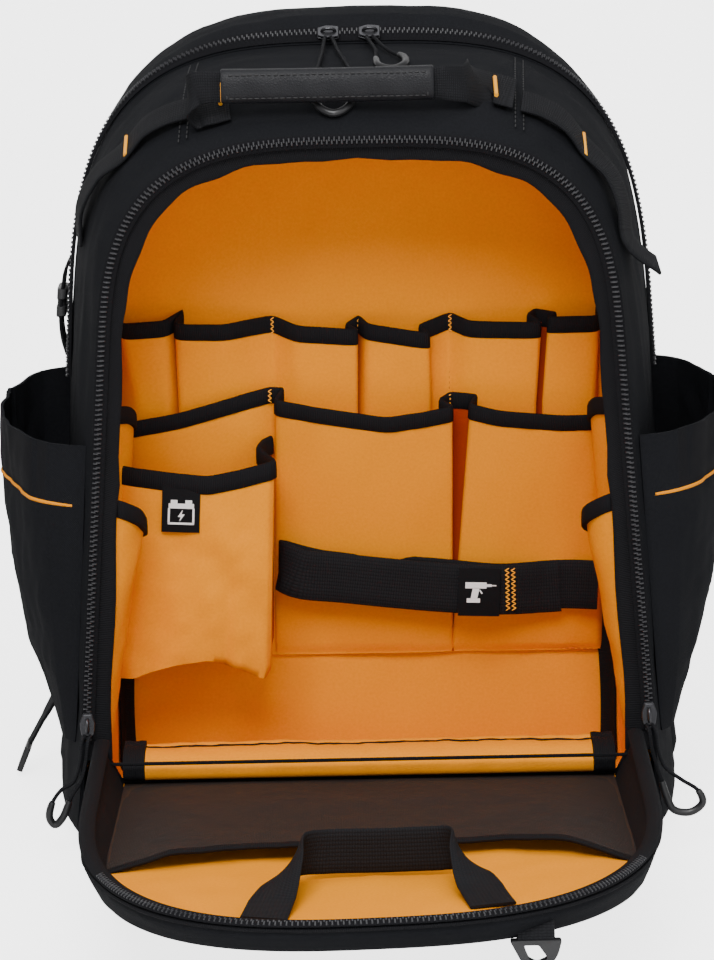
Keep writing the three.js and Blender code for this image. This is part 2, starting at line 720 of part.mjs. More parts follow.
// Plastic hook under the flap's tip: a rounded triangle with an oval hole
const hookY = flapTipY + 20;
const hookX = flapHalfAt(hookY, 0) * 0.9;
const hookShape = new THREE.Shape();
hookShape.moveTo(-hookWidth / 2, 0);
hookShape.lineTo(hookWidth / 2, 0);
hookShape.lineTo(hookWidth * 0.42, -hookHeight * 0.55);
hookShape.quadraticCurveTo(hookWidth * 0.3, -hookHeight, 0, -hookHeight);
hookShape.quadraticCurveTo(-hookWidth * 0.22, -hookHeight, -hookWidth * 0.3, -hookHeight * 0.62);
hookShape.lineTo(-hookWidth / 2, 0);
const hookHole = new THREE.Path();
hookHole.moveTo(-hookWidth * 0.22, -hookHeight * 0.2);
hookHole.lineTo(-hookWidth * 0.12, -hookHeight * 0.66);
hookHole.quadraticCurveTo(0.5, -hookHeight * 0.88, hookWidth * 0.2, -hookHeight * 0.62);
hookHole.lineTo(hookWidth * 0.02, -hookHeight * 0.2);
hookHole.lineTo(-hookWidth * 0.22, -hookHeight * 0.2);
hookShape.holes.push(hookHole);
const hook = new THREE.ExtrudeGeometry(hookShape, { depth: hookThick, bevelEnabled: false, curveSegments: 4 });
const hookMesh = addMesh("hook", "hard_plastic", hook);
hookMesh.rotation.x = Math.PI / 2;
const hookZ = flapFloorAt(hookX - hookWidth / 2, hookY) - 2 * seamGap;
hookMesh.position.set(hookX, hookY + hookThick / 2 + flapShift(hookX, hookY), hookZ);

// Pocket sheets on the divider. A pocket is [left edge, right edge, bulge, dip of its middle];
// the sheet is sewn down between pockets.
const wallFaceY = dividerY - seamGap;
function pocketSheet(pockets, profile, lowZ, rows, standOff) {
  const stations = [];
  pockets.forEach(([left, right, bulge, dip, topLeft, topRight], index) => {
    for (const u of [0, 0.12, 0.32, 0.68, 0.88]) {
      const rise = u === 0 ? 0 : Math.pow(Math.sin(Math.PI * u), 0.45);
      const top = blend(topLeft, topRight, u) - dip * rise;
      stations.push({ x: blend(left, right, u), out: bulge * rise, top });
    }
    const next = pockets[index + 1];
    if (!next || next[0] > right + 1) stations.push({ x: right, out: 0, top: topRight });
  });
  const side = (thick) => rows.map((row) => stations.map(({ x, out, top }) => {
    const share = row === "binding" ? 1 - bindingHeight / (top - lowZ) : row;
    const z = blend(lowZ, top, share);
    return [x, wallFaceY - standOff(z) - thick - profile(share) * out, z];
  }));
  return { front: side(sheetThick), back: side(0) };
}
function pocketBinding(sheet) {
  const rows = sheet.front.slice(-2);
  const side = (thick) => rows.map((row) => row.map(([x, y, z]) => [x, y - seamGap - thick, z]));
  return sheetBetween(side(bindingThick), side(0));
}

// Upper row of six small pockets
const upperPockets = [
  [-149, -108.5, 15, 3, 290, 297], [-108.5, -53, 17, 5, 296, 296], [-53, -1, 13, 4, 296, 293],
  [-1, 48, 13, 4, 293, 292], [48, 112, 16, 5, 297, 295], [112, 148, 13, 3, 296, 291],
];
const upperLowZ = 168;
const upperProfile = (share) => 0.1 + 0.9 * Math.sqrt(share) * (0.6 + 0.4 * share);
const upperRows = [0, 0.35, 0.7, "binding", 1];
const upperSheet = pocketSheet(upperPockets, upperProfile, upperLowZ, upperRows, () => 0);
addMesh("upper_pockets", "orange_lining", sheetBetween(upperSheet.front, upperSheet.back));
addMesh("upper_binding", "binding", pocketBinding(upperSheet));

// Lower row of three larger pockets, sewn over the upper row's lower end
const lowerPockets = [
  [-150.5, -55, 8, 2, 232, 254], [-55, 58, 30, 14, 254, 247], [58, 149, 30, 13, 250, 244],
];
const lowerProfile = (share) => 0.08 + 0.3 * share + 0.62 * share ** 3;
const lowerLowZ = 86;
const lowerStandOff = (z) => (18.5 * (z - lowerLowZ)) / 168;
const lowerRows = [0, 0.35, 0.65, 0.85, "binding", 1];
const lowerSheet = pocketSheet(lowerPockets, lowerProfile, lowerLowZ, lowerRows, lowerStandOff);
addMesh("lower_pockets", "orange_lining", sheetBetween(lowerSheet.front, lowerSheet.back));
addMesh("lower_binding", "binding", pocketBinding(lowerSheet));

// Battery pocket: a deep bag, open at its top, on the front of the lower left pocket
const batteryBackY = wallFaceY - lowerStandOff(batteryTopZ) - sheetThick - 5.3 - seamGap;
function batteryRing(inward, z) {
  const half = batteryHalf - inward;
  const back = batteryBackY - inward;
  const front = batteryBackY - batteryDepth + inward;
  const c = 12 - inward * 0.6;
  return [
    [batteryX - half, back, z], [batteryX - half, front + c, z], [batteryX - half + c * 0.3, front + c * 0.3, z],
    [batteryX - half + c, front, z], [batteryX, front - 2, z], [batteryX + half - c, front, z],
    [batteryX + half - c * 0.3, front + c * 0.3, z], [batteryX + half, front + c, z], [batteryX + half, back, z],
    [batteryX, back, z],
  ];
}
const batteryRings = [
  batteryRing(9, batteryBottomZ), batteryRing(1.5, batteryBottomZ + 9), batteryRing(0, batteryBottomZ + 60),
  batteryRing(0, batteryTopZ), batteryRing(sheetThick, batteryTopZ), batteryRing(sheetThick, batteryBottomZ + 60),
  batteryRing(1.5 + sheetThick, batteryBottomZ + 10), batteryRing(9 + sheetThick, batteryBottomZ + sheetThick),
];
addMesh("battery_pocket", "orange_lining", skin(batteryRings, false));
function batteryBinding() {
  const rings = [];
  const lowZ = batteryTopZ - bindingHeight;
  const at = (inward, z) => batteryRing(inward, z).slice(1, 9);
  const corners = [[-seamGap, lowZ], [-seamGap - bindingThick, lowZ], [-seamGap - bindingThick, batteryTopZ + 0.6],
    [-seamGap, batteryTopZ + 0.6]];
  const lists = corners.map(([inward, z]) => at(inward, z));
  for (let i = 0; i < lists[0].length; i += 1) rings.push(lists.map((list) => list[i]));
  return skin(rings, false);
}
addMesh("battery_binding", "binding", batteryBinding());
const labelFrontY = batteryBackY - batteryDepth - 2 - seamGap - bindingThick;
const batteryLabel = new THREE.BoxGeometry(21.5, 0.8, 30);
addMesh("battery_label", "label", batteryLabel).position.set(
  batteryX - 6, labelFrontY - seamGap - 0.4, batteryTopZ - 19);

// Drill strap: two layers of webbing from the right wall, folded at the left
const drillFrontY = -6;
const drillLayer = 9;
const drillLeftX = -47;
const drillRightX = 151.8;
const drillBackY = drillFrontY + drillLayer;
const strapTilt = (x) => 141 - 14 * clamp01((x - drillLeftX) / 150) + 4 * clamp01((x - 110) / 36);
const drillPath = [
  [drillRightX, drillBackY], [110, drillBackY], [60, drillBackY], [5, drillBackY], [-40, drillBackY],
  [drillLeftX - 3, drillBackY - 2.2], [drillLeftX - 4.6, drillBackY - drillLayer / 2],
  [drillLeftX - 3, drillFrontY + 2.2], [-40, drillFrontY], [5, drillFrontY], [60, drillFrontY],
  [86, drillFrontY + 0.5], [98, drillBackY - drillStrapThick - 3], [111, drillBackY - drillStrapThick - seamGap],
];
addMesh("drill_strap", "webbing", band(drillPath.map(([x, y]) => (
  { at: [x, y, strapTilt(x)], across: [0, 0, 1], width: drillStrapWidth }
)), drillStrapThick));
addMesh("drill_label", "label", new THREE.BoxGeometry(26, 0.8, 29)).position.set(
  69, drillFrontY - drillStrapThick / 2 - seamGap - 0.5, strapTilt(69) - 1);

// Small pockets on the side linings: sheets that stand off the wall, open at the top
function wallPocket(side) {
  const shares = [0, 0.25, 0.5, 0.75, 1];
  const rows = [[62, 0.06], [110, 0.35], [165, 0.75], [208, 1]];
  const grid = (thick) => rows.map(([z, out]) => shares.map((u) => {
    const y = blend(-104, -53, u);
    const wall = halfAt(liningOutline(y), z) - liningWall - 2 * seamGap - thick;
    const dip = z > 200 ? -16 * Math.sin(Math.PI * u) + 6 * u : 0;
    return [side * (wall - 15.5 * out * Math.sin(Math.PI * u) ** 0.8), y, z + dip];
  }));
  return [grid(sheetThick), grid(0)];
}
for (const [name, side] of [["wall_pocket_left", -1], ["wall_pocket_right", 1]]) {
  const [near, far] = wallPocket(side);
  addMesh(name, "orange_lining", sheetBetween(near, far));
}

// Side pockets outside: share of the reach at each height share, and the plan's shape
const sideRows = [[0, 0.02], [0.1, 0.2], [0.24, 0.5], [0.45, 0.74], [0.68, 0.88], [0.9, 1.0], [1, 1.02]];
const sideColumns = [0, 0.04, 0.14, 0.3, 0.5, 0.7, 0.86, 0.96, 1];
function sidePoint(side, heightShare, out, u, inward) {
  const y = blend(sidePocketFrontY, sidePocketBackY, u);
  const z = blend(sidePocketBottomZ, sidePocketTopZ, heightShare) + 14 * u * heightShare;
  const plan = Math.pow(Math.sin(Math.PI * u), 0.5);
  const rearRise = clamp01(u) * 0.12;
  const nearSeam = y > seamY - zipWidth && y < seamY + 1;
  const wall = bodyHalfAt(y, z) + seamGap + (nearSeam ? sidePocketWall : 0);
  const reach = sidePocketReach * out * plan * (1 - rearRise);
  return [side * (wall + 0.4 + Math.max(0, reach - inward) + (sidePocketWall - inward)), y, z];
}
for (const [label, side] of [["left", -1], ["right", 1]]) {
  const grid = (inward) => sideRows.map(([share, out]) =>
    sideColumns.map((u) => sidePoint(side, share, out, u, inward)));
  addMesh(`side_pocket_${label}`, "black_cloth", sheetBetween(grid(0), grid(sidePocketWall)));
  const bandGrid = (grow) => [0.93, 1.0].map((share) => sideColumns.map((u) => {
    const [x, y, z] = sidePoint(side, share, 1.01, u, 0);
    return [x + side * (seamGap + grow + 0.6), y, z];
  }));
  addMesh(`side_band_${label}`, "binding", sheetBetween(bandGrid(1.2), bandGrid(0)));
  const pipingPath = sideColumns.slice(1, 6).map((u) => {
    const [x, y, z] = sidePoint(side, 0.9, 1, u, 0);
    return [x + side * (seamGap + 1.7), y, z];
  });
  addMesh(`side_piping_${label}`, "piping", bar(softCurve(pipingPath), 2.2, 6, 8));
}

// Carrying handle: webbing sewn to the top, with a sleeve round its middle
const roofPoint = (x, y, lift) => [x, y + leanAt(y, mouthTop) * 0.9, roofAt(mainOutline(y), x) + lift];
const gripY = -94;
const gripZ = roofAt(mainOutline(gripY), 0) + gripTall / 2 + 6;
const gripFromX = -78;
const gripToX = 45;
const gripRing = (x, scale) => {
  const ring = [];
  for (let k = 0; k < 8; k += 1) {
    const turn = (2 * Math.PI * (k + 0.5)) / 8;
    const sag = -2.5 * (1 - ((x - (gripFromX + gripToX) / 2) / 62) ** 2) + 2.5;
    ring.push([
      x,
      gripY + (Math.cos(turn) * gripDeep * scale) / 2 / 0.924,
      gripZ + (Math.sin(turn) * gripTall * scale) / 2 / 0.924 + sag * 0.2,
    ]);
  }
  return ring;
};
addMesh("handle_grip", "leather", skin([
  gripRing(gripFromX, 0.94), gripRing(gripFromX + 2, 1), gripRing(-17, 1), gripRing(gripToX - 2, 1),
  gripRing(gripToX, 0.94),
], false));

// A station of webbing on the body's roof or side, its width along the surface
function onRoof(x, y, lift, width) {
  const low = roofPoint(x, y - width * 0.4, 0);
  const high = roofPoint(x, y + width * 0.4, 0);
  return { at: roofPoint(x, y, lift), across: high.map((v, i) => v - low[i]), width };
}
function onSide(side, y, z, lift, width) {
  const point = (at, out) => [side * (bodyHalfAt(at, z) + out), at + leanAt(at, z), z];
  const low = point(y - width * 0.4, 0);
  const high = point(y + width * 0.4, 0);
  return { at: point(y, lift), across: high.map((v, i) => v - low[i]), width };
}
const upright = [0, 0, 1];
const handleLeft = [
  onRoof(-74, -84, 2.6, 28),
  onRoof(-86, -84, 3, 28),
  { at: [-94, -88, gripZ - 10], across: [0, 0.6, 0.8], width: 26 },
  { at: [-92, gripY + 1, gripZ - 2], across: [0, 0.2, 1], width: 21 },
  { at: [gripFromX - 6, gripY, gripZ], across: upright, width: 18 },
  { at: [gripFromX - seamGap, gripY, gripZ], across: upright, width: 18 },
];
addMesh("handle_web_left", "webbing", band(handleLeft, webbingThick));
const handleRight = [
  { at: [gripToX + seamGap, gripY, gripZ], across: upright, width: 18 },
  { at: [gripToX + 6, gripY, gripZ], across: upright, width: 20 },
  { at: [gripToX + 18, gripY + 8, gripZ - 2], across: [0, 0.4, 1], width: 22 },
  onRoof(76, -68, 4.2, handleWidth),
  onRoof(93, -68, 4.2, handleWidth),
];
addMesh("handle_web_right", "webbing", band(handleRight, webbingThick));

// Webbing loops that run from the top round both shoulders, sewn down at three places
const daisyLeft = [
  onRoof(-98, -72, 3.2, webbingWidth),
  onRoof(-110, -70, 5, webbingWidth),
  onRoof(-124, -66, 6, webbingWidth),
  onRoof(-137, -62, 3, webbingWidth),
  onSide(-1, -54, 399, 7, webbingWidth),
  onSide(-1, -46, 378, 7, webbingWidth),
  onSide(-1, -42, 358, 2.2, webbingWidth),
];
addMesh("daisy_left", "webbing", band(daisyLeft, webbingThick));
const daisyRight = [
  onRoof(97, -72, 3.2, webbingWidth),
  onRoof(109, -72, 5, webbingWidth),
  onRoof(122, -73, 6, webbingWidth),
  onRoof(134, -75, 3, webbingWidth),
  onSide(1, -78, 396, 6, webbingWidth),
  onSide(1, -82, 378, 5, webbingWidth),
  onSide(1, -86, 361, 2.6, webbingWidth),
  onSide(1, -84, 352, 6, webbingWidth),
  onSide(1, -80, 342, 15, webbingWidth),
];
addMesh("daisy_right", "webbing", band(daisyRight, webbingThick));

// Zip sliders, their cord pulls and the moulded ends that the cords hang in
function slider(name, at, turn) {
  const shape = new THREE.Shape();
  const [l, w] = [sliderLength / 2, sliderWidth / 2];
  shape.moveTo(-l, -w * 0.6);
  shape.lineTo(-l * 0.2, -w);
  shape.lineTo(l, -w * 0.8);
  shape.lineTo(l, w * 0.8);
  shape.lineTo(-l * 0.2, w);
  shape.lineTo(-l, w * 0.6);
  shape.closePath();
  const geometry = new THREE.ExtrudeGeometry(shape, { depth: sliderThick, bevelEnabled: false });
  const mesh = addMesh(name, "metal", geometry);
  mesh.position.set(...at);
  mesh.rotation.copy(turn);
}
const mouthSliderZ = 80;
const mouthZipFace = mouthZipY - seamGap - 0.2;
const sliderX = (z) => halfAt(mainOutline(frontY), z) - zipWidth / 2 + 0.8;
for (const [label, side] of [["left", -1], ["right", 1]]) {
  const turn = new THREE.Euler(Math.PI / 2, 0, Math.PI / 2);
  slider(`mouth_slider_${label}`, [side * sliderX(mouthSliderZ), mouthZipFace, mouthSliderZ], turn);
}
const rearSliderTurn = new THREE.Euler((52 * Math.PI) / 180, 0, 0);
const rearSliderY = seamY + 1.6;
const rearSliderZ = seamTop + 5.8;
for (const [label, x] of [["left", -16], ["right", 9]]) {
  slider(`rear_slider_${label}`, [x, rearSliderY, rearSliderZ], rearSliderTurn);
}

// Each pull: the cord's chosen points, from the slider through the end piece and back, and the
// steps of the cord between which the end piece lies
const pullSteps = 26;
const pulls = {
  mouth_left: [[
    [-168.3, -119.5, 73.4], [-169.8, -122.6, 72], [-171, -123.6, 60], [-175.6, -124, 47], [-183, -124, 42],
    [-188.6, -124, 34], [-190.4, -124, 25], [-187.4, -124, 20.6], [-183, -124, 24.5],
    [-177, -124, 38], [-171, -124, 47.5], [-167.6, -123.6, 60], [-166, -122.6, 72], [-165, -119.5, 73.4],
  ], 10, 17],
  mouth_right: [[
    [168.3, -119.5, 73.4], [169.8, -122.6, 72], [171.4, -123.6, 60], [175.4, -124, 49], [185, -124, 41],
    [195, -124, 34], [197.6, -124, 26.5], [190.5, -124, 20.8], [180.6, -124, 22.4], [176.4, -124, 30],
    [173.4, -124, 40], [170.4, -124, 50], [167.4, -123.6, 61], [166, -122.6, 72], [165, -119.5, 73.4],
  ], 10, 19],
  rear_left: [[
    [-17.8, 21.2, 469], [-18.2, 8, 469], [-19.5, -15, 465], [-22, -45, 459.5], [-25, -68, 453], [-25.5, -82, 447.5],
    [-21, -92, 441.5], [-13, -96, 438.6], [-5, -92, 441.5], [-1.5, -82, 447.5], [-2, -68, 453],
    [-4.5, -45, 459.5], [-10, -15, 465], [-13, 8, 469], [-14.2, 21.2, 469],
  ], 11, 15],
  rear_right: [[
    [11, 21.2, 469], [12.6, 8, 469], [17, -6, 466], [22.5, -19, 463.8], [29, -31, 462.4], [29, -45, 460],
    [22, -53, 458.4], [14.5, -48, 459.4], [12.4, -36, 461.8], [12.4, -18, 465], [9.4, 0, 468], [7.6, 10, 469.4],
    [7.4, 21.2, 469],
  ], 8, 17],
};
for (const [label, [points, from, to]] of Object.entries(pulls)) {
  const curve = softCurve(points);
  addMesh(`${label}_pull`, "webbing", bar(curve, pullCord, 8, pullSteps));
  addMesh(`${label}_end`, "hard_plastic",
    sleeve(curve, pullSteps, from, to, pullCord + 2 * seamGap + 0.2, pullEndThick, 8));
}

// Shoulder straps on the back: padded pads from the top, then webbing down to the lower corners
const strapBackY = backY + seamGap + backPadding;
for (const [label, side] of [["left", -1], ["right", 1]]) {
  const pad = [
    [48, 1.0 + shoulderThick / 2, 430, 0.95], [56, 9, 400, 1], [70, 24, 340, 1], [88, 32, 270, 1],
    [102, 30, 205, 0.9], [108, 22, 150, 0.6], [110, 18, 132, 0.5],
  ];
  addMesh(`shoulder_pad_${label}`, "padding", band(pad.map(([x, out, z, w]) => (
    { at: [side * x, strapBackY + out, z], across: [1, 0, 0], width: shoulderWidth * w }
  )), shoulderThick));
  const lower = [[111, 17, 124.8], [120, 12, 90], [134, 5, 60], [146, 1.6, 44], [150, 1.5, 34]];
  addMesh(`lower_web_${label}`, "webbing", band(lower.map(([x, out, z]) => (
    { at: [side * x, strapBackY + out, z], across: [1, 0, 0.3 * side], width: webbingWidth }
  )), webbingThick));
}

// Loose end of the lower webbing at the left, with its plastic stop
const looseStart = rearHalf - rearTaper * 60;
const looseEnd = [
  { at: [-looseStart - 1.9, 62, 59], across: [0, 1, 0.1], width: webbingWidth },
  { at: [-looseStart - 6, 62, 48], across: [0, 1, 0.2], width: webbingWidth },
  { at: [-looseStart - 14, 60, 34], across: [0.1, 1, 0.2], width: webbingWidth },
  { at: [-looseStart - 22, 58, 20], across: [0.1, 1, 0.2], width: webbingWidth },
];
addMesh("loose_web_left", "webbing", band(looseEnd, webbingThick));
addMesh("loose_stop_left", "hard_plastic", band([
  { at: [-looseStart - 22.6, 58, 18.6], across: [0.1, 1, 0.2], width: webbingWidth + 4 },
  { at: [-looseStart - 29, 57, 3], across: [0.1, 1, 0.2], width: webbingWidth + 2 },
], 4));

// Compression strap with its buckle on the left edge, standing a little off the body
const buckleThick = 6.5;
const sideStrap = [
  [334, 1.9, webbingThick], [327, 5, webbingThick], [317, 6, webbingThick], [315.5, 6, buckleThick],
  [297.5, 6.6, buckleThick], [296, 6.6, webbingThick], [284, 5, webbingThick], [274, 1.9, webbingThick],
];
addMesh("side_strap_left", "webbing", band(sideStrap.map(([z, out, thick]) => ({
  at: [-bodyHalfAt(48, z) - out, 48, z], across: [0, 1, 0], width: webbingWidth, thick,
})), webbingThick));

export default bag;
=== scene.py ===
# A tool backpack that stands open on its base with its front flap folded down on the floor.
# The lengths below are millimetres and become metres when a mesh is made.
import bmesh
import bpy
import math
import numpy as np
from mathutils import Matrix, Vector


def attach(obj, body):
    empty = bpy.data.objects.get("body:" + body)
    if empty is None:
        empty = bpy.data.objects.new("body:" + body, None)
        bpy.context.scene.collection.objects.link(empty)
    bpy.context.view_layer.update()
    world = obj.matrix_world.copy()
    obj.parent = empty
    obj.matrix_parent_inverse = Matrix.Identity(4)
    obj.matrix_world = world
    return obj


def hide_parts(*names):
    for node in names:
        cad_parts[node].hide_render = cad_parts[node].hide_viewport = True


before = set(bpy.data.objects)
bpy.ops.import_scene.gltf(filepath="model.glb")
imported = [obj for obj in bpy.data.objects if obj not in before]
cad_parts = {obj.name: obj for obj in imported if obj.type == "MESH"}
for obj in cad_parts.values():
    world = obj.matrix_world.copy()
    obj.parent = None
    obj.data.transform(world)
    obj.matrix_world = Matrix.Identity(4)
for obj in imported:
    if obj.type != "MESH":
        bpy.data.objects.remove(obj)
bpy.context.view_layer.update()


# Front body: the wide black compartment that holds the tools, woven cloth over a thin foam.
# It is sewn from a wall strip bent into an arch, closed along the mouth by the zip, and two
# short seams run over its roof where the strip is joined.
MM = 0.001


# Node graphs for the materials: a node, its input values, and links by socket name
class Graph:
    def __init__(self, name):
        self.material = bpy.data.materials.new(name)
        self.material.use_nodes = True
        self.tree = self.material.node_tree
        self.tree.nodes.clear()
        self.surface = self.add("ShaderNodeBsdfPrincipled")
        self.output = self.add("ShaderNodeOutputMaterial")
        self.link(self.surface, "BSDF", self.output, "Surface")

    def add(self, kind, settings=None, **values):
        node = self.tree.nodes.new(kind)
        for key, value in (settings or {}).items():
            setattr(node, key, value)
        for key, value in values.items():
            node.inputs[key.replace("_", " ")].default_value = value
        return node

    def link(self, source, output, target, entry):
        self.tree.links.new(source.outputs[output], target.inputs[entry])

    def math(self, operation, a, b=None, c=None):
        node = self.tree.nodes.new("ShaderNodeMath")
        node.operation = operation
        for place, value in enumerate((a, b, c)):
            if value is None:
                continue
            if isinstance(value, (int, float)):
                node.inputs[place].default_value = value
            else:
                self.tree.links.new(value, node.inputs[place])
        return node.outputs[0]

    def wave(self, value, pitch):
        return self.math("SINE", self.math("MULTIPLY", value, 2 * math.pi / pitch))

    def mix(self, factor, low, high):
        node = self.tree.nodes.new("ShaderNodeMix")
        node.data_type = "RGBA"
        for place, value in ((0, factor), (6, low), (7, high)):
            if isinstance(value, bpy.types.NodeSocket):
                self.tree.links.new(value, node.inputs[place])
            elif place:
                node.inputs[place].default_value = (*value, 1)
            else:
                node.inputs[place].default_value = value
        return node.outputs[2]

    def noise(self, coordinates, scale, detail=3.0, rough=0.55):
        node = self.add("ShaderNodeTexNoise", Scale=scale, Detail=detail, Roughness=rough)
        self.tree.links.new(coordinates, node.inputs["Vector"])
        return node.outputs["Fac"]

    def bump(self, height, strength, distance, normal=None):
        node = self.add("ShaderNodeBump", Strength=strength, Distance=distance)
        self.tree.links.new(height, node.inputs["Height"])
        if normal is not None:
            self.tree.links.new(normal, node.inputs["Normal"])
        return node.outputs["Normal"]

    def finish(self, color, rough, normal=None):
        for entry, value in (("Base Color", color), ("Roughness", rough)):
            if isinstance(value, bpy.types.NodeSocket):
                self.tree.links.new(value, self.surface.inputs[entry])
            else:
                self.surface.inputs[entry].default_value = (*value, 1) if entry == "Base Color" else value
        if normal is not None:
            self.tree.links.new(normal, self.surface.inputs["Normal"])
        return self.material


def coordinates(graph, kind):
    node = graph.add("ShaderNodeTexCoord")
    return node.outputs[kind]


def plane_of(graph, vector):
    node = graph.add("ShaderNodeSeparateXYZ")
    graph.tree.links.new(vector, node.inputs[0])
    return node.outputs


# Woven cloth: a plain weave over the UV map, which is in metres, with soft uneven patches, and where a shade colour
# is given, painted shade mixed in by a value stored on each point
def cloth(name, dark, light, pitch, rough, weave=0.35, sheen=0.0, patch=18.0, slub=0.25, painted_shade=None):
    g = Graph(name)
    uv = coordinates(g, "UV")
    axes = plane_of(g, uv)
    warp = g.wave(axes[0], pitch)
    weft = g.wave(axes[1], pitch)
    cross = g.math("MULTIPLY", warp, weft)
    grain = g.noise(uv, 1.0 / (pitch * 1.7), 2.0)
    patches = g.noise(coordinates(g, "Object"), patch, 4.0, 0.6)
    height = g.math("ADD", cross, g.math("MULTIPLY", grain, 2.2 * slub * 4))
    tone = g.math("MULTIPLY_ADD", cross, 0.16, g.math("MULTIPLY_ADD", grain, 0.9, g.math("MULTIPLY", patches, 0.5)))
    shade = g.math("SUBTRACT", tone, 0.25)
    color = g.mix(shade, dark, light)
    # Painted shade: the cloth turns towards a dark red where a piece stores shade for its pleats, folds and recesses
    if painted_shade:
        shaded = g.add("ShaderNodeAttribute", {"attribute_name": "painted_shade"})
        color = g.mix(shaded.outputs["Fac"], color, painted_shade)
    g.surface.inputs["Sheen Weight"].default_value = sheen
    g.surface.inputs["Sheen Roughness"].default_value = 0.5
    g.surface.inputs["Specular IOR Level"].default_value = 0.1
    soft = g.bump(patches, 0.25, 0.004)
    return g.finish(color, rough, g.bump(height, weave, pitch * 0.25, soft))


# Ribbed tape or webbing: ribs across the band, along U, and a coarser rib along V near its edges
def tape(name, dark, light, pitch, rough, depth=0.6, along=0.0):
    g = Graph(name)
    uv = coordinates(g, "UV")
    axes = plane_of(g, uv)
    ribs = g.math("ABSOLUTE", g.wave(axes[0], pitch * 2))
    height = ribs
    if along:
        rows = g.math("ABSOLUTE", g.wave(axes[1], along * 2))
        height = g.math("MULTIPLY", g.math("MULTIPLY_ADD", ribs, 0.65, 0.35), g.math("MULTIPLY_ADD", rows, 0.5, 0.5))
    grain = g.noise(uv, 900.0, 2.0)
    patches = g.noise(coordinates(g, "Object"), 25.0, 3.0)
    tone = g.math("MULTIPLY_ADD", height, 0.55, g.math("MULTIPLY_ADD", grain, 0.35, g.math("MULTIPLY", patches, 0.3)))
    color = g.mix(g.math("SUBTRACT", tone, 0.2), dark, light)
    g.surface.inputs["Specular IOR Level"].default_value = 0.12
    return g.finish(color, rough, g.bump(height, depth, pitch * 0.35))


# Moulded plastic, painted metal and leather use the object's own coordinates
def moulded(name, color, rough, grain=0.15, scale=700.0, metal=0.0, wear=0.0):
    g = Graph(name)
    place = coordinates(g, "Object")
    fine = g.noise(place, scale, 3.0)
    broad = g.noise(place, 30.0, 3.0)
    lighter = tuple(min(1.0, c * 1.7 + 0.01) for c in color)
    tone = g.mix(g.math("MULTIPLY_ADD", broad, 0.8, -0.15), color, lighter)
    if wear:
        edge = g.add("ShaderNodeNewGeometry").outputs["Pointiness"]
        worn = g.math("MULTIPLY", g.math("SUBTRACT", edge, 0.52), wear * 10)
        tone = g.mix(worn, color, tuple(min(1.0, c * 4 + 0.05) for c in color))
    g.surface.inputs["Metallic"].default_value = metal
    spread = g.math("MULTIPLY_ADD", broad, 0.18, rough - 0.09)
    return g.finish(tone, spread, g.bump(fine, grain, 0.0004))


materials = {}
materials["black_cloth"] = cloth("black_cloth", (0.005, 0.0055, 0.007), (0.013, 0.0135, 0.016), 0.0011, 0.85, 0.4)
materials["webbing"] = tape("webbing", (0.004, 0.004, 0.005), (0.017, 0.0175, 0.020), 0.0015, 0.75, 0.8, 0.0022)
materials["black_thread"] = moulded("black_thread", (0.012, 0.012, 0.013), 0.6, 0.3)


def smooth_shade(mesh, angle=50):
    mesh.polygons.foreach_set("use_smooth", [True] * len(mesh.polygons))
    mesh.set_sharp_from_angle(angle=math.radians(angle))


# A piece from points in millimetres, with a UV map in metres
def new_piece(name, points, faces, finish, uv=None, angle=50):
    mesh = bpy.data.meshes.new(name)
    mesh.from_pydata([tuple(p) for p in np.asarray(points, float) * MM], [], faces)
    if uv is not None:
        layer = mesh.uv_layers.new(name="metres")
        corners = np.empty(len(mesh.loops), dtype=np.int32)
        mesh.loops.foreach_get("vertex_index", corners)
        layer.data.foreach_set("uv", (np.asarray(uv)[corners] * MM).ravel())
    mesh.validate()
    smooth_shade(mesh, angle)
    mesh.materials.append(materials[finish])
    piece = bpy.data.objects.new(name, mesh)
    bpy.context.collection.objects.link(piece)
    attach(piece, "root")
    return piece


def lengths(points):
    steps = np.linalg.norm(np.diff(points, axis=0), axis=1)
    return np.concatenate([[0], np.cumsum(steps)])


def grid_uv(grid, flip=False):
    rows, columns = grid.shape[:2]
    along = lengths(grid[rows // 2])
    up = lengths(grid[:, columns // 2])
    u, v = np.meshgrid(along, up)
    pair = (v, u) if flip else (u, v)
    return np.stack(pair, axis=-1).reshape(-1, 2)


def grid_normals(grid, looped=False):
    if looped:
        wide = np.concatenate([grid[:, -1:], grid, grid[:, :1]], axis=1)
        across = (wide[:, 2:] - wide[:, :-2])
    else:
        across = np.gradient(grid, axis=1)
    down = np.gradient(grid, axis=0)
    normal = np.cross(across, down)
    size = np.linalg.norm(normal, axis=2, keepdims=True)
    return normal / np.maximum(size, 1e-9)


def grid_faces(rows, columns, start=0, looped=False, turned=False):
    faces = []
    for r in range(rows - 1):
        for c in range(columns if looped else columns - 1):
            a = start + r * columns + c
            b = start + r * columns + (c + 1) % columns
            face = (a, b, b + columns, a + columns)
            faces.append(face[::-1] if turned else face)
    return faces


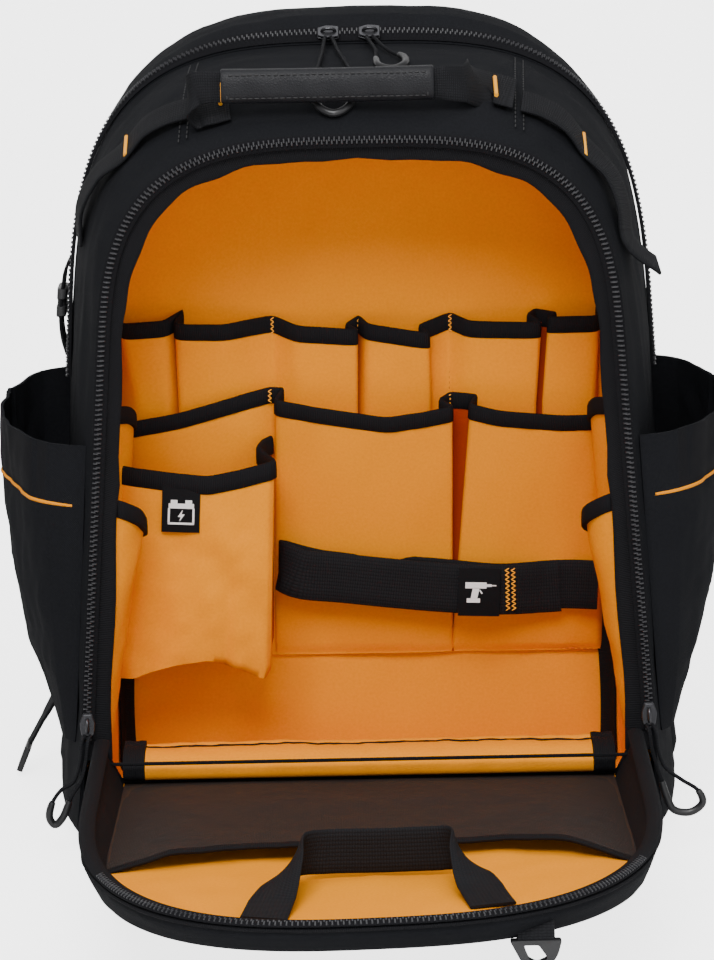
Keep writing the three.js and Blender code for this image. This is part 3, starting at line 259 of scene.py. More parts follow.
# A sheet of cloth with a front grid and a thickness behind it, closed at its edges
def cloth_sheet(name, grid, thick, finish, looped=False, flip=False, angle=60):
    grid = np.asarray(grid, float)
    rows, columns = grid.shape[:2]
    back = grid + grid_normals(grid, looped) * thick
    count = rows * columns
    faces = grid_faces(rows, columns, 0, looped, True) + grid_faces(rows, columns, count, looped)
    edges = []
    if looped:
        for c in range(columns):
            d = (c + 1) % columns
            edges.append((c, d))
            edges.append(((rows - 1) * columns + d, (rows - 1) * columns + c))
    else:
        rim = list(range(columns - 1)) + [r * columns + columns - 1 for r in range(rows - 1)]
        rim += [(rows - 1) * columns + c for c in range(columns - 1, 0, -1)]
        rim += [r * columns for r in range(rows - 1, 0, -1)]
        edges = list(zip(rim, rim[1:] + rim[:1]))
    faces += [(a, b, b + count, a + count) for a, b in edges]
    uv = grid_uv(grid, flip)
    points = np.concatenate([grid.reshape(-1, 3), back.reshape(-1, 3)])
    return new_piece(name, points, faces, finish, np.concatenate([uv, uv]), angle)


def resample(points, count):
    points = np.asarray(points, float)
    along = lengths(points)
    want = np.linspace(0, along[-1], count)
    return np.stack([np.interp(want, along, points[:, axis]) for axis in range(points.shape[1])], axis=1)


# Many small copies of one shape on marked places: zip teeth, stitches and ribs
def scatter_group():
    group = bpy.data.node_groups.new("scatter", "GeometryNodeTree")
    for label, kind in (("Places", "NodeSocketGeometry"), ("Shape", "NodeSocketObject"),
                        ("Finish", "NodeSocketMaterial"), ("Uneven", "NodeSocketFloat"), ("Seed", "NodeSocketInt")):
        group.interface.new_socket(label, in_out="INPUT", socket_type=kind)
    group.interface.new_socket("Copies", in_out="OUTPUT", socket_type="NodeSocketGeometry")
    add = group.nodes.new
    given, result = add("NodeGroupInput"), add("NodeGroupOutput")
    shape = add("GeometryNodeObjectInfo")
    copies = add("GeometryNodeInstanceOnPoints")
    attribute = add("GeometryNodeInputNamedAttribute")
    attribute.data_type = "FLOAT_VECTOR"
    attribute.inputs["Name"].default_value = "turn"
    rotation = add("FunctionNodeEulerToRotation")
    spread = add("FunctionNodeRandomValue")
    spread.data_type = "FLOAT"
    low, high = add("ShaderNodeMath"), add("ShaderNodeMath")
    low.operation = "SUBTRACT"
    low.inputs[0].default_value = high.inputs[0].default_value = 1.0
    real = add("GeometryNodeRealizeInstances")
    paint = add("GeometryNodeSetMaterial")
    link = group.links.new
    link(given.outputs["Places"], copies.inputs["Points"])
    link(given.outputs["Shape"], shape.inputs["Object"])
    link(shape.outputs["Geometry"], copies.inputs["Instance"])
    link(attribute.outputs["Attribute"], rotation.inputs[0])
    link(rotation.outputs[0], copies.inputs["Rotation"])
    for node in (low, high):
        link(given.outputs["Uneven"], node.inputs[1])
    scalar = [s for s in spread.inputs if s.type == "VALUE"]
    link(low.outputs[0], scalar[0])
    link(high.outputs[0], scalar[1])
    link(given.outputs["Seed"], spread.inputs["Seed"])
    amount = [s for s in spread.outputs if s.type == "VALUE"][0]
    link(amount, copies.inputs["Scale"])
    link(copies.outputs["Instances"], real.inputs["Geometry"])
    link(real.outputs["Geometry"], paint.inputs["Geometry"])
    link(given.outputs["Finish"], paint.inputs["Material"])
    link(paint.outputs["Geometry"], result.inputs["Copies"])
    return group


scatter_nodes = scatter_group()


def scatter(name, places, along, outward, shape, finish, uneven=0.0, seed=1):
    points, faces = shape
    source_mesh = bpy.data.meshes.new(f"{name}_shape")
    source_mesh.from_pydata([tuple(p) for p in np.asarray(points, float) * MM], [], faces)
    source = bpy.data.objects.new(f"{name}_shape", source_mesh)
    bpy.context.collection.objects.link(source)
    turns = []
    for a, n in zip(along, outward):
        x = Vector(a).normalized()
        z = Vector(n)
        z = (z - x * z.dot(x)).normalized()
        turns.append(tuple(Matrix((x, z.cross(x), z)).transposed().to_euler()))
    mesh = bpy.data.meshes.new(name)
    mesh.from_pydata([tuple(p) for p in np.asarray(places, float) * MM], [], [])
    marks = mesh.attributes.new("turn", "FLOAT_VECTOR", "POINT")
    marks.data.foreach_set("vector", np.asarray(turns, np.float32).ravel())
    carrier = bpy.data.objects.new(f"{name}_places", mesh)
    bpy.context.collection.objects.link(carrier)
    modifier = carrier.modifiers.new("scatter", "NODES")
    modifier.node_group = scatter_nodes
    given = {"Shape": source, "Finish": materials[finish], "Uneven": uneven, "Seed": seed}
    for socket in scatter_nodes.interface.items_tree:
        if socket.in_out == "INPUT" and socket.name in given:
            modifier[socket.identifier] = given[socket.name]
    carrier.update_tag()
    bpy.context.view_layer.update()
    graph = bpy.context.evaluated_depsgraph_get()
    made = bpy.data.meshes.new_from_object(carrier.evaluated_get(graph), depsgraph=graph)
    made.name = name
    piece = bpy.data.objects.new(name, made)
    bpy.context.collection.objects.link(piece)
    for helper in (carrier, source):
        bpy.data.objects.remove(helper)
    smooth_shade(made, 40)
    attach(piece, "root")
    return piece


def thread(length, width):
    points = []
    for x, size in ((-0.5, 0.35), (-0.3, 0.9), (0, 1), (0.3, 0.9), (0.5, 0.35)):
        for k in range(6):
            a = 2 * math.pi * k / 6
            points.append((x * length, math.cos(a) * width / 2 * size, (math.sin(a) * 0.7 + 0.15) * width / 2 * size))
    faces = [(5, 4, 3, 2, 1, 0), (24, 25, 26, 27, 28, 29)]
    for row in range(4):
        for k in range(6):
            a, b = row * 6 + k, row * 6 + (k + 1) % 6
            faces.append((a, b, b + 6, a + 6))
    return points, faces


def stitches(name, path, outward, finish, length=2.6, gap=1.2, width=0.7, lift=0.1):
    path = np.asarray(path, float)
    total = lengths(path)[-1]
    count = max(2, int(total / (length + gap)))
    dense = resample(path, count + 1)
    normals = resample(np.broadcast_to(np.asarray(outward, float), path.shape), count + 1)
    middles = (dense[1:] + dense[:-1]) / 2 + normals[1:] * lift
    return scatter(name, middles, np.diff(dense, axis=0), normals[1:], thread(length, width), finish,
                   0.08, 3)


# Uneven ripples in cloth: a sum of waves in fixed random directions
def ripple(points, scale, seed, waves=9):
    steps = np.random.default_rng(seed)
    total = np.zeros(points.shape[:-1])
    for k in range(waves):
        way = steps.normal(size=3)
        way /= np.linalg.norm(way)
        size = scale * 0.62 ** (k / 2.5)
        total += np.sin(points @ way * 2 * math.pi / size + steps.uniform(0, 6.28)) * (size / scale)
    return total / waves ** 0.5


def bell(x, width):
    return np.exp(-(np.asarray(x) / width) ** 2)


def push(grid, amount, looped=False):
    return grid - grid_normals(grid, looped) * np.asarray(amount)[..., None]


# Sizes of the body, the same as the CAD model's
seam_y, front_depth = 26, 138
front_y = seam_y - front_depth
mouth_half, seam_half, mouth_top, seam_top = 175.3, 192, 427, 464
cloth_wall, seam_gap, base_panel = 2.5, 0.3, 4
shell_floor = base_panel + seam_gap
zip_width, zip_thick, zip_end_z, rear_zip_end_z = 8, 2.2, 70, 262
lower_corner = 12


def blend(a, b, t):
    return a + (b - a) * t


def clamp01(t):
    return min(1.0, max(0.0, t))


def half_at(outline, z):
    half, taper, shoulder, top, power = outline
    t = clamp01((z - shoulder) / (top - shoulder))
    return (half - taper * z) * max(0.0, 1 - t ** power) ** (1 / power)


def roof_at(outline, x):
    low, high = outline[2], outline[3]
    for _ in range(40):
        z = (low + high) / 2
        if half_at(outline, z) > abs(x):
            low = z
        else:
            high = z
    return low


# Depth share, share of the widening, share of the rise, arch power
main_sections = [(0.0, 0.0, 0.0, 3.2), (0.087, 0.22, 0.24, 3.1), (0.246, 0.52, 0.53, 3.1),
                 (0.486, 0.76, 0.8, 3.1), (0.739, 0.91, 0.96, 3.2), (1.0, 1.0, 1.0, 3.35)]


def table_at(table, depth):
    rows = np.array(table)
    return [np.interp(depth, rows[:, 0], rows[:, k]) for k in (1, 2, 3)]


def main_outline(y):
    widen, rise, power = table_at(main_sections, (y - front_y) / front_depth)
    top = blend(mouth_top, seam_top, rise)
    return (blend(mouth_half, seam_half, widen), blend(0.07, 0.054, widen), top * blend(0.7, 0.62, widen), top, power)


def lean_at(y, z):
    return 8 * clamp01((z - zip_end_z) / (mouth_top - zip_end_z)) * clamp01((seam_y - y) / front_depth)


def side_points(outline, floor_z, arch=34, side=16):
    half, taper, shoulder, top, power = outline
    low = half - taper * floor_z
    r = lower_corner
    points = [(low * s, floor_z) for s in (0.0, 0.3, 0.6, 0.85)]
    for k in range(5):
        a = math.pi / 8 * k
        points.append((low - r + r * math.sin(a), floor_z + r - r * math.cos(a)))
    for k in range(1, side + 1):
        z = blend(floor_z + r, shoulder, k / side)
        points.append((half_at(outline, z), z))
    for k in range(1, arch + 1):
        a = math.pi / 2 * k / arch
        z = blend(shoulder, top, math.sin(a) ** (2 / power))
        points.append(((half - taper * z) * max(0, math.cos(a)) ** (2 / power), z))
    return points


def loop_of(outline, floor_z):
    right = side_points(outline, floor_z)
    left = [(-x, z) for x, z in right[1:-1]][::-1]
    return np.array(right + left)


def placed(loop, y):
    return np.array([(x, y + lean_at(y, z), z) for x, z in loop])


# Nothing on the walls, rising to one over the roof
def roof_share(grid):
    return np.clip((grid[..., 2] - 330) / 60, 0, 1)


main_rows = np.linspace(front_y, seam_y, 46)
main_grid = np.array([placed(loop_of(main_outline(y), shell_floor), y) for y in main_rows])
depth_share = ((main_rows - front_y) / front_depth)[:, None]
roof_seams = sum(bell(main_grid[..., 0] - x - 0.04 * (main_grid[..., 1] + 40), 2.2) for x in (-99, 97))
near_roof = roof_share(main_grid)
soft = 1.5 * ripple(main_grid, 95, 4) + 0.5 * ripple(main_grid, 32, 5)
edge = np.clip(1 - depth_share * 7, 0, 1)
pucker = 0.5 * ripple(main_grid * [1, 0.2, 1], 20, 6) * bell(depth_share - 0.12, 0.1)
hold = (np.clip(depth_share * 9, 0, 1) * np.clip((1 - depth_share) * 9, 0, 1)
        * np.clip((main_grid[..., 2] - 8) / 20, 0, 1))
main_grid = push(main_grid, (soft + pucker) * hold - 1.4 * roof_seams * near_roof * hold, True)
body_front = cloth_sheet("body_front", main_grid, cloth_wall, "black_cloth", looped=True)
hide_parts("main_shell")
for label, x in (("left", -99), ("right", 97)):
    for side in (-2.4, 2.4):
        line = []
        for y in np.linspace(front_y + 14, seam_y - 12, 40):
            at_x = x + side + 0.04 * (y + 40)
            line.append((at_x, y + lean_at(y, 430), roof_at(main_outline(y), at_x) + 1.2))
        name = f"roof_seam_{label}_{'in' if side * x < 0 else 'out'}"
        stitches(name, line, (0, -0.5, 0.87), "black_thread", 3, 1.2, 0.8, 0)


# Rear body: the fuller black half behind the seam, of the same woven cloth.
# It is sewn to the front body all round and bulges a little towards the back.
rear_depth, back_padding = 78, 14
back_y = seam_y + rear_depth
rear_half, rear_top = 196.5, 482
rear_sections = [(0.0, 0.0, 0.0, 3.35), (0.09, 0.5, 0.5, 3.2), (0.24, 0.85, 0.86, 3.15),
                 (0.46, 1.0, 1.0, 3.1), (0.78, 0.95, 0.96, 3.1), (1.0, -0.2, 0.5, 3.1)]


def rear_outline(y):
    widen, rise, power = table_at(rear_sections, (y - seam_y) / rear_depth)
    top = blend(seam_top, rear_top, rise)
    shoulder = top * blend(0.62, 0.56, clamp01(widen))
    return (blend(seam_half, rear_half, widen), blend(0.054, 0.06, widen), shoulder, top, power)


rear_rows = np.linspace(seam_y + seam_gap, back_y, 30)
rear_grid = np.array([placed(loop_of(rear_outline(y), shell_floor), y) for y in rear_rows])
rear_share = ((rear_rows - seam_y) / rear_depth)[:, None]
rear_hold = (np.clip((rear_share - 0.1) * 6, 0, 1) * np.clip((1 - rear_share) * 8, 0, 1)
             * np.clip((rear_grid[..., 2] - 8) / 20, 0, 1))
rear_grid = push(rear_grid, (1.6 * ripple(rear_grid, 110, 14) + 0.4 * ripple(rear_grid, 36, 15)) * rear_hold, True)
body_rear = cloth_sheet("body_rear", rear_grid, cloth_wall, "black_cloth", looped=True)
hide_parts("rear_shell")


# Back pad: the padded panel that lies against the wearer's back, foam under a rough cloth.
# It is sewn to the rear body along its rim. The photograph doesn't show it, so it is kept plain.
materials["padding"] = cloth("padding", (0.006, 0.0065, 0.008), (0.015, 0.0155, 0.018), 0.0014, 0.85, 0.5)


# A closed body lofted through rings of equal point counts, with flat or open ends
def loft(name, rings, finish, ends=True, looped=False, angle=50):
    rings = np.asarray(rings, float)
    rows, columns = rings.shape[:2]
    faces = grid_faces(rows, columns, 0, True)
    if looped:
        last = (rows - 1) * columns
        faces += [(last + c, last + (c + 1) % columns, (c + 1) % columns, c) for c in range(columns)]
    elif ends:
        faces.append(tuple(range(columns))[::-1])
        faces.append(tuple((rows - 1) * columns + c for c in range(columns)))
    uv = grid_uv(rings, True)
    piece = new_piece(name, rings.reshape(-1, 3), faces, finish, uv, angle)
    fix_normals(piece)
    return piece


def fix_normals(piece):
    shape = bmesh.new()
    shape.from_mesh(piece.data)
    bmesh.ops.recalc_face_normals(shape, faces=shape.faces)
    shape.to_mesh(piece.data)
    shape.free()


def inset(loop, distance):
    before, after = np.roll(loop, 1, axis=0), np.roll(loop, -1, axis=0)
    u = loop - before
    v = after - loop
    u /= np.maximum(np.linalg.norm(u, axis=1, keepdims=True), 1e-9)
    v /= np.maximum(np.linalg.norm(v, axis=1, keepdims=True), 1e-9)
    nu = np.stack([-u[:, 1], u[:, 0]], axis=1)
    nv = np.stack([-v[:, 1], v[:, 0]], axis=1)
    mitre = nu + nv
    mitre /= np.maximum(np.linalg.norm(mitre, axis=1, keepdims=True), 1e-9)
    reach = distance / np.maximum(0.5, np.sum(mitre * nu, axis=1, keepdims=True))
    return loop + mitre * reach


back_loop = loop_of(rear_outline(back_y), shell_floor)
back_rings = []
for share, pull in ((0, 1.6), (0.12, 0.6), (0.35, 0.3), (0.6, 1.0), (0.8, 3.0), (0.93, 6.5), (1.0, 12)):
    loop = inset(back_loop, pull)
    back_rings.append([(x, back_y + seam_gap + share * back_padding, z) for x, z in loop])
middle = np.array(back_rings[-1]).mean(axis=0)
for share, rise in ((0.85, 0.0), (0.6, 0.0), (0.3, 0.0), (0.04, 0.0)):
    ring = middle + (np.array(back_rings[-1]) - middle) * [share, 1, share]
    channel = 2.5 * bell(np.abs(ring[:, 0]) - 42, 7) + 1.6 * bell((ring[:, 2] % 96) - 48, 5)
    ring[:, 1] -= channel
    back_rings.append([tuple(p) for p in ring])
back = loft("back_pad", back_rings, "padding")
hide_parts("back_panel")


# Base: a stiff plate under coated cloth that the backpack stands on.
# It is cut with round corners and sewn under both halves of the body.
base_loop = []
base_low, base_high = front_y + 6, back_y - 6
base_front_half, base_back_half = mouth_half - 13, rear_half - 13
for cx, cy, a0 in ((base_front_half - 12, base_low + 12, -90), (base_back_half - 12, base_high - 12, 0),
                   (12 - base_back_half, base_high - 12, 90), (12 - base_front_half, base_low + 12, 180)):
    for k in range(7):
        a = math.radians(a0 + 15 * k)
        base_loop.append((cx + 12 * math.cos(a), cy + 12 * math.sin(a)))
base_loop = np.array(base_loop)
base_rings = [[(x * s, y * s + (1 - s) * -4, z) for x, y in base_loop]
              for s, z in ((0.5, 0.0), (0.97, 0.0), (0.995, 0.5), (1.0, 1.6), (1.0, 3.2), (0.99, 4.0), (0.5, 4.0))]
base = loft("base", base_rings, "black_cloth")
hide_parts("base_panel")


# Mouth zip: woven tape along the open edge of the front body, with one row of moulded teeth.
# The tape is sewn to the edge of the cloth and its teeth point into the opening.
materials["zip_tape"] = tape("zip_tape", (0.004, 0.004, 0.005), (0.010, 0.010, 0.012), 0.0008, 0.85)
materials["zip"] = moulded("zip_teeth", (0.022, 0.022, 0.025), 0.3, 0.1)


# Small shapes, with X along the row, Y across it and Z outwards
def block(length, width, height, taper=0.75):
    points = []
    for z, size in ((0, 1), (height * 0.7, 1), (height, taper)):
        for x, y in ((-1, -1), (1, -1), (1, 1), (-1, 1)):
            points.append((x * length / 2 * size, y * width / 2 * size, z))
    faces = [(0, 3, 2, 1), (8, 9, 10, 11)]
    for low in (0, 4):
        faces += [(low + i, low + (i + 1) % 4, low + 4 + (i + 1) % 4, low + 4 + i) for i in range(4)]
    return points, faces


# The part of an outline above a height, from one end over the arch to the other
def arch_part(loop, end_z):
    right = [p for p in loop[:len(loop) // 2 + 1] if p[1] > end_z + 1]
    right = [(right[0][0], end_z)] + [tuple(p) for p in right]
    left = [(-x, z) for x, z in right[:-1]][::-1]
    return np.array(right + left)


def zip_row(name, path, outward, across, finish="zip", pitch=1.45, both=True):
    dense = resample(path, int(lengths(np.asarray(path))[-1] / pitch) + 1)
    way = resample(outward, len(dense))
    side = resample(across, len(dense))
    side /= np.linalg.norm(side, axis=1, keepdims=True)
    shift = np.where(np.arange(len(dense)) % 2 == 0, 0.9, -0.9)[:, None] if both else 0.0
    along = np.gradient(dense, axis=0)
    return scatter(name, dense + side * shift, along, way, block(0.95, 2.8, 1.4), finish, 0.04)


mouth_loop = loop_of(main_outline(front_y), shell_floor)
zip_y = front_y - zip_thick - seam_gap
mouth_shares = (-0.8, -0.3, 1.2, 3.4, 5.6, 7.2)
mouth_lift = (0.8, 0.0, -0.1, 0.0, 0.3, 1.0)
tape_grid = []
for share, lift in zip(mouth_shares, mouth_lift):
    arch = arch_part(inset(mouth_loop, share), zip_end_z)
    tape_grid.append([(x, zip_y + lift + lean_at(front_y, z), z) for x, z in arch])
mouth_tape = cloth_sheet("mouth_zip_tape", np.array(tape_grid)[::-1], 1.2, "zip_tape")
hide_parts("mouth_zip")
tooth_arch = arch_part(inset(mouth_loop, 2.6), zip_end_z)
tooth_path = np.array([(x, zip_y + 0.25 + lean_at(front_y, z), z) for x, z in tooth_arch])
inner_arch = arch_part(inset(mouth_loop, 5.0), zip_end_z)
tooth_side = np.array([(b[0] - a[0], 0, b[1] - a[1]) for a, b in zip(tooth_arch, inner_arch)])
zip_row("mouth_zip_teeth", tooth_path, np.tile([0, -1.0, 0], (len(tooth_path), 1)), tooth_side)


# Rear zip: a closed coil on woven tape that runs over the seam between the two halves.
# It is sewn into both halves, and its two rows of teeth meet in the middle.


def rear_arch(y, lift):
    arch = arch_part(inset(loop_of(rear_outline(y), shell_floor), -lift), rear_zip_end_z)
    return np.array([(x, y, z) for x, z in arch])


rear_tape_rows = [rear_arch(y, lift) for y,
                  lift in ((26.8, 0.8), (27.3, 1.8), (28.6, 2.3), (30.6, 2.3), (31.9, 1.8), (32.4, 0.8))]
rear_tape = cloth_sheet("rear_zip_tape", np.array(rear_tape_rows)[::-1], 0.7, "zip_tape")
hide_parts("rear_zip")
rear_side = rear_arch(32.4, 2.2) - rear_arch(26.8, 2.2)
rear_path = rear_arch(29.6, 2.4)
rear_out = np.cross(rear_side, np.gradient(rear_path, axis=0))
rear_out *= np.sign(np.sum(rear_out * (rear_path - [0, 200, 200]), axis=1, keepdims=True))
rear_out /= np.linalg.norm(rear_out, axis=1, keepdims=True)
zip_row("rear_zip_teeth", rear_path, rear_out, rear_side)


# Zip sliders: four small painted metal runners with a wire loop on top.
# Two hang at the ends of the mouth zip, and two meet on top of the rear zip.
materials["metal"] = moulded("metal", (0.025, 0.025, 0.028), 0.3, 0.1, 400.0, 0.75, 0.5)


# The centripetal curve through chosen points that the CAD cords follow too
def curve_points(points, count):
    points = [np.asarray(p, float) for p in points]
    ends = [2 * points[0] - points[1], *points, 2 * points[-1] - points[-2]]
    result = []
    for step in range(count):
        p = (len(points) - 1) * step / (count - 1)
        k = min(int(p), len(points) - 2)
        w = p - k
        p0, p1, p2, p3 = ends[k:k + 4]
        d0, d1, d2 = (max(1e-4, np.linalg.norm(b - a) ** 0.5) for a, b in ((p0, p1), (p1, p2), (p2, p3)))
        t1 = ((p1 - p0) / d0 - (p2 - p0) / (d0 + d1) + (p2 - p1) / d1) * d1
        t2 = ((p2 - p1) / d1 - (p3 - p1) / (d1 + d2) + (p3 - p2) / d2) * d1
        c2 = -3 * p1 + 3 * p2 - 2 * t1 - t2
        c3 = 2 * p1 - 2 * p2 + t1 + t2
        result.append(p1 + t1 * w + c2 * w * w + c3 * w ** 3)
    return np.array(result)


# Rings of a round section round a path, carried along it without twist
def tube_rings(path, radius, sides=10):
    path = np.asarray(path, float)
    tangents = np.gradient(path, axis=0)
    tangents /= np.linalg.norm(tangents, axis=1, keepdims=True)
    out = np.cross(tangents[0], [0.3, 0.2, 0.93])
    out /= np.linalg.norm(out)
    radii = np.broadcast_to(radius, len(path))
    rings = []
    turns = np.linspace(0, 2 * np.pi, sides, endpoint=False)
    for place, along, size in zip(path, tangents, radii):
        out = out - along * np.dot(out, along)
        out /= np.linalg.norm(out)
        side = np.cross(along, out)
        rings.append([place + size * (math.cos(a) * out + math.sin(a) * side) for a in turns])
    return np.array(rings)


def rounded_outline(corners, count=9):
    points = []
    total = len(corners)
    for k, (x, z, reach) in enumerate(corners):
        before, after = np.array(corners[k - 1][:2]), np.array(corners[(k + 1) % total][:2])
        here = np.array([x, z])
        start = here + (before - here) / np.linalg.norm(before - here) * reach
        stop = here + (after - here) / np.linalg.norm(after - here) * reach
        for s in np.linspace(0, 1, count):
            points.append((1 - s) ** 2 * start + 2 * s * (1 - s) * here + s * s * stop)
    return np.array(points)


# A runner lies along its zip, and its bridge carries the cord
def slider_piece(name, node, place, turn):
    outline = [(-6.5, -2.7), (-1.3, -4.5), (3, -4.2), (6.5, -3.6), (6.5, 3.6), (3, 4.2), (-1.3, 4.5), (-6.5, 2.7)]
    outline = rounded_outline([(x, z, 0.8) for x, z in outline], 3)
    rings = []
    for z, size in ((0, 0.92), (0.5, 1), (1.4, 1), (1.6, 0.9), (2.4, 0.9), (2.6, 1), (3.5, 1), (4, 0.92)):
        rings.append([turn @ Vector((x * size, y * size, z)) + Vector(place) for x, y in outline])
    body = loft(name, np.array(rings), "metal", angle=35)
    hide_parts(node)
    arch = [(-3.6, 0, 4), (-3.0, 0, 6), (-1.2, 0, 7.0), (1.8, 0, 7.0), (3.6, 0, 6), (4.2, 0, 4)]
    bridge_path = np.array([turn @ Vector(p) + Vector(place) for p in arch])
    return loft(f"{name}_bridge", tube_rings(resample(curve_points(bridge_path, 40), 24), 1.1, 8), "metal")


mouth_slider_z = 80
slider_y = zip_y - seam_gap - 0.2
for label, side in (("left", -1), ("right", 1)):
    x = side * (half_at(main_outline(front_y), mouth_slider_z) - zip_width / 2 + 0.8)
    turn = Matrix(((0, 1, 0), (0, 0, -1), (-1, 0, 0)))
    slider_piece(f"mouth_runner_{label}", f"mouth_slider_{label}", (x, slider_y, mouth_slider_z), turn)
rear_turn = Matrix.Rotation(math.radians(52), 3, "X")
for label, x in (("left", -16), ("right", 9)):
    slider_piece(f"rear_runner_{label}", f"rear_slider_{label}", (x, seam_y + 1.6, seam_top + 5.8), rear_turn)


# Pull cords: thin braided cords looped through the sliders, with a moulded black grip on each.
# Each cord leaves its slider, runs through the grip, turns back and hangs loose.
materials["hard_plastic"] = moulded("hard_plastic", (0.010, 0.010, 0.011), 0.36, 0.2, 500.0, 0.0, 0.3)
pull_cord = 2.4
pull_end = 4.6
cord_steps = 26
pulls = {
    "mouth_left": ([
        (-168.3, -119.5, 73.4), (-169.8, -122.6, 72), (-171, -123.6, 60), (-175.6, -124, 47), (-183, -124, 42),
        (-188.6, -124, 34), (-190.4, -124, 25), (-187.4, -124, 20.6), (-183, -124, 24.5),
        (-177, -124, 38), (-171, -124, 47.5), (-167.6, -123.6, 60), (-166, -122.6, 72), (-165, -119.5, 73.4),
    ], 10, 17),
    "mouth_right": ([
        (168.3, -119.5, 73.4), (169.8, -122.6, 72), (171.4, -123.6, 60), (175.4, -124, 49), (185, -124, 41),
        (195, -124, 34), (197.6, -124, 26.5), (190.5, -124, 20.8), (180.6, -124, 22.4), (176.4, -124, 30),
        (173.4, -124, 40), (170.4, -124, 50), (167.4, -123.6, 61), (166, -122.6, 72), (165, -119.5, 73.4),
    ], 10, 19),
    "rear_left": ([
        (-17.8, 21.2, 469), (-18.2, 8, 469), (-19.5, -15, 465), (-22, -45, 459.5), (-25, -68, 453),
        (-25.5, -82, 447.5), (-21, -92, 441.5), (-13, -96, 438.6), (-5, -92, 441.5), (-1.5, -82, 447.5),
        (-2, -68, 453), (-4.5, -45, 459.5), (-10, -15, 465), (-13, 8, 469), (-14.2, 21.2, 469),
    ], 11, 15),
    "rear_right": ([
        (11, 21.2, 469), (12.6, 8, 469), (17, -6, 466), (22.5, -19, 463.8), (29, -31, 462.4), (29, -45, 460),
        (22, -53, 458.4), (14.5, -48, 459.4), (12.4, -36, 461.8), (12.4, -18, 465), (9.4, 0, 468),
        (7.6, 10, 469.4), (7.4, 21.2, 469),
    ], 8, 17),
}
for label, (route, start, stop) in pulls.items():
    path = resample(curve_points(route, 260), 131)
    cord = loft(f"{label}_cord", tube_rings(path, pull_cord / 2, 8), "webbing")
    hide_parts(f"{label}_pull")
    held = path[round(start * 130 / cord_steps):round(stop * 130 / cord_steps) + 1]
    swell = 1 - 0.22 * np.abs(np.linspace(-1, 1, len(held))) ** 8
    outer = tube_rings(held, pull_end / 2 * swell, 14)
    inner = tube_rings(held, (pull_cord / 2 + 0.25) * np.ones(len(held)), 14)
    ring = loft(f"{label}_ring", np.concatenate([outer, inner[::-1]]), "hard_plastic", looped=True)
    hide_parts(f"{label}_end")
    float(lengths(path)[-1] * MM)


# Panel: the orange wall between the two compartments, padded cloth sewn in along the seam.
# A line of stitches a hand above the floor holds it to the padding behind it.
# Its dark red is painted shade, mixed in where a piece stores shade for points that lie in pleats or far back
materials["orange_lining"] = cloth("orange_lining", (0.84, 0.255, 0.0), (1.0, 0.36, 0.0), 0.0010, 0.8, 0.25,
                                   0.0, 9.0, painted_shade=(0.34, 0.02, 0.0))


# Height of the panel's sewn line, which runs a little downhill
def sewn_line_z(x):
    return 93 - 11 * (x + 55) / 200


panel_thick = 4
panel_front_y = seam_y - 4.3
wall_y = seam_y - panel_thick - 2 * seam_gap
divider_loop = inset(loop_of(main_outline(panel_front_y), shell_floor), cloth_wall + 1.0)
panel_top = float(divider_loop[:, 1].max())
columns = np.linspace(-1, 1, 60)
panel_rows = []
for z in np.linspace(shell_floor + 5, panel_top - 0.5, 56):
    half = half_at(main_outline(panel_front_y), z) - cloth_wall - 1.6
    panel_rows.append([(half * s, wall_y + 0.5, z) for s in columns])
panel_grid = np.array(panel_rows)
calm = np.clip((panel_top - 12 - panel_grid[..., 2]) / 40, 0, 1)
panel_grid[..., 1] -= (1.6 * ripple(panel_grid, 150, 31) + 0.6 * ripple(panel_grid, 60, 32) - 0.5) * calm
seam_z = sewn_line_z(panel_grid[..., 0])
panel_grid[..., 1] += 1.2 * bell(panel_grid[..., 2] - seam_z, 2.5) * calm
panel = cloth_sheet("panel", panel_grid[::-1], 3.6, "orange_lining")
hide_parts("divider")


# Lining: thin orange cloth on the walls, roof and floor of the front compartment.
# It hangs from the mouth and the panel and is loose between them, so it falls in soft folds.


def lining_outline(y):
    t = clamp01((y - lining_front) / (lining_back - lining_front))
    top = blend(415, 446, math.sqrt(t))
    return (blend(161, 157, t), blend(0.062, 0.01, t), top * blend(0.7, 0.62, t), top, 3.2)


lining_front, lining_back = front_y + 3.6, seam_y - panel_thick - seam_gap - seam_gap
lining_wall, lining_floor = 1.5, shell_floor + cloth_wall + seam_gap
lining_grid = np.array([[(x, y, z) for x, z in inset(loop_of(lining_outline(y), lining_floor), lining_wall)]
                        for y in np.linspace(lining_front + 0.5, lining_back - 0.4, 40)])
lining_share = np.linspace(0, 1, 40)[:, None]
loose = np.clip(lining_share * 7, 0, 1) * np.clip((1 - lining_share) * 8, 0, 1)
folds = 1.5 * ripple(lining_grid * [1, 0.5, 1], 80, 41) + 0.6 * ripple(lining_grid, 30, 42)
roof_part = roof_share(lining_grid)
pull_fold = 2.4 * bell(((lining_grid[..., 0] + lining_grid[..., 1] * 0.5) % 62) - 31, 6) * roof_part
# Sign convention: a positive push moves the lining inwards, away from the shell
lining_grid = push(lining_grid, -(folds + pull_fold) * loose, True)
front_wave = 1.8 * np.sin(lining_grid[0, :, 0] / 17) * np.clip((lining_grid[0, :, 2] - 360) / 30, 0, 1)
lining_grid[:4, :, 2] -= np.linspace(1, 0, 4)[:, None] * np.abs(front_wave)
leaning = np.array([[lean_at(lining_front, z) for z in row[:, 2]] for row in lining_grid])
lining_grid[..., 1] += leaning * (1 - lining_share) ** 1.5
lining = cloth_sheet("lining", lining_grid, -1.4, "orange_lining", looped=True)
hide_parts("main_lining")


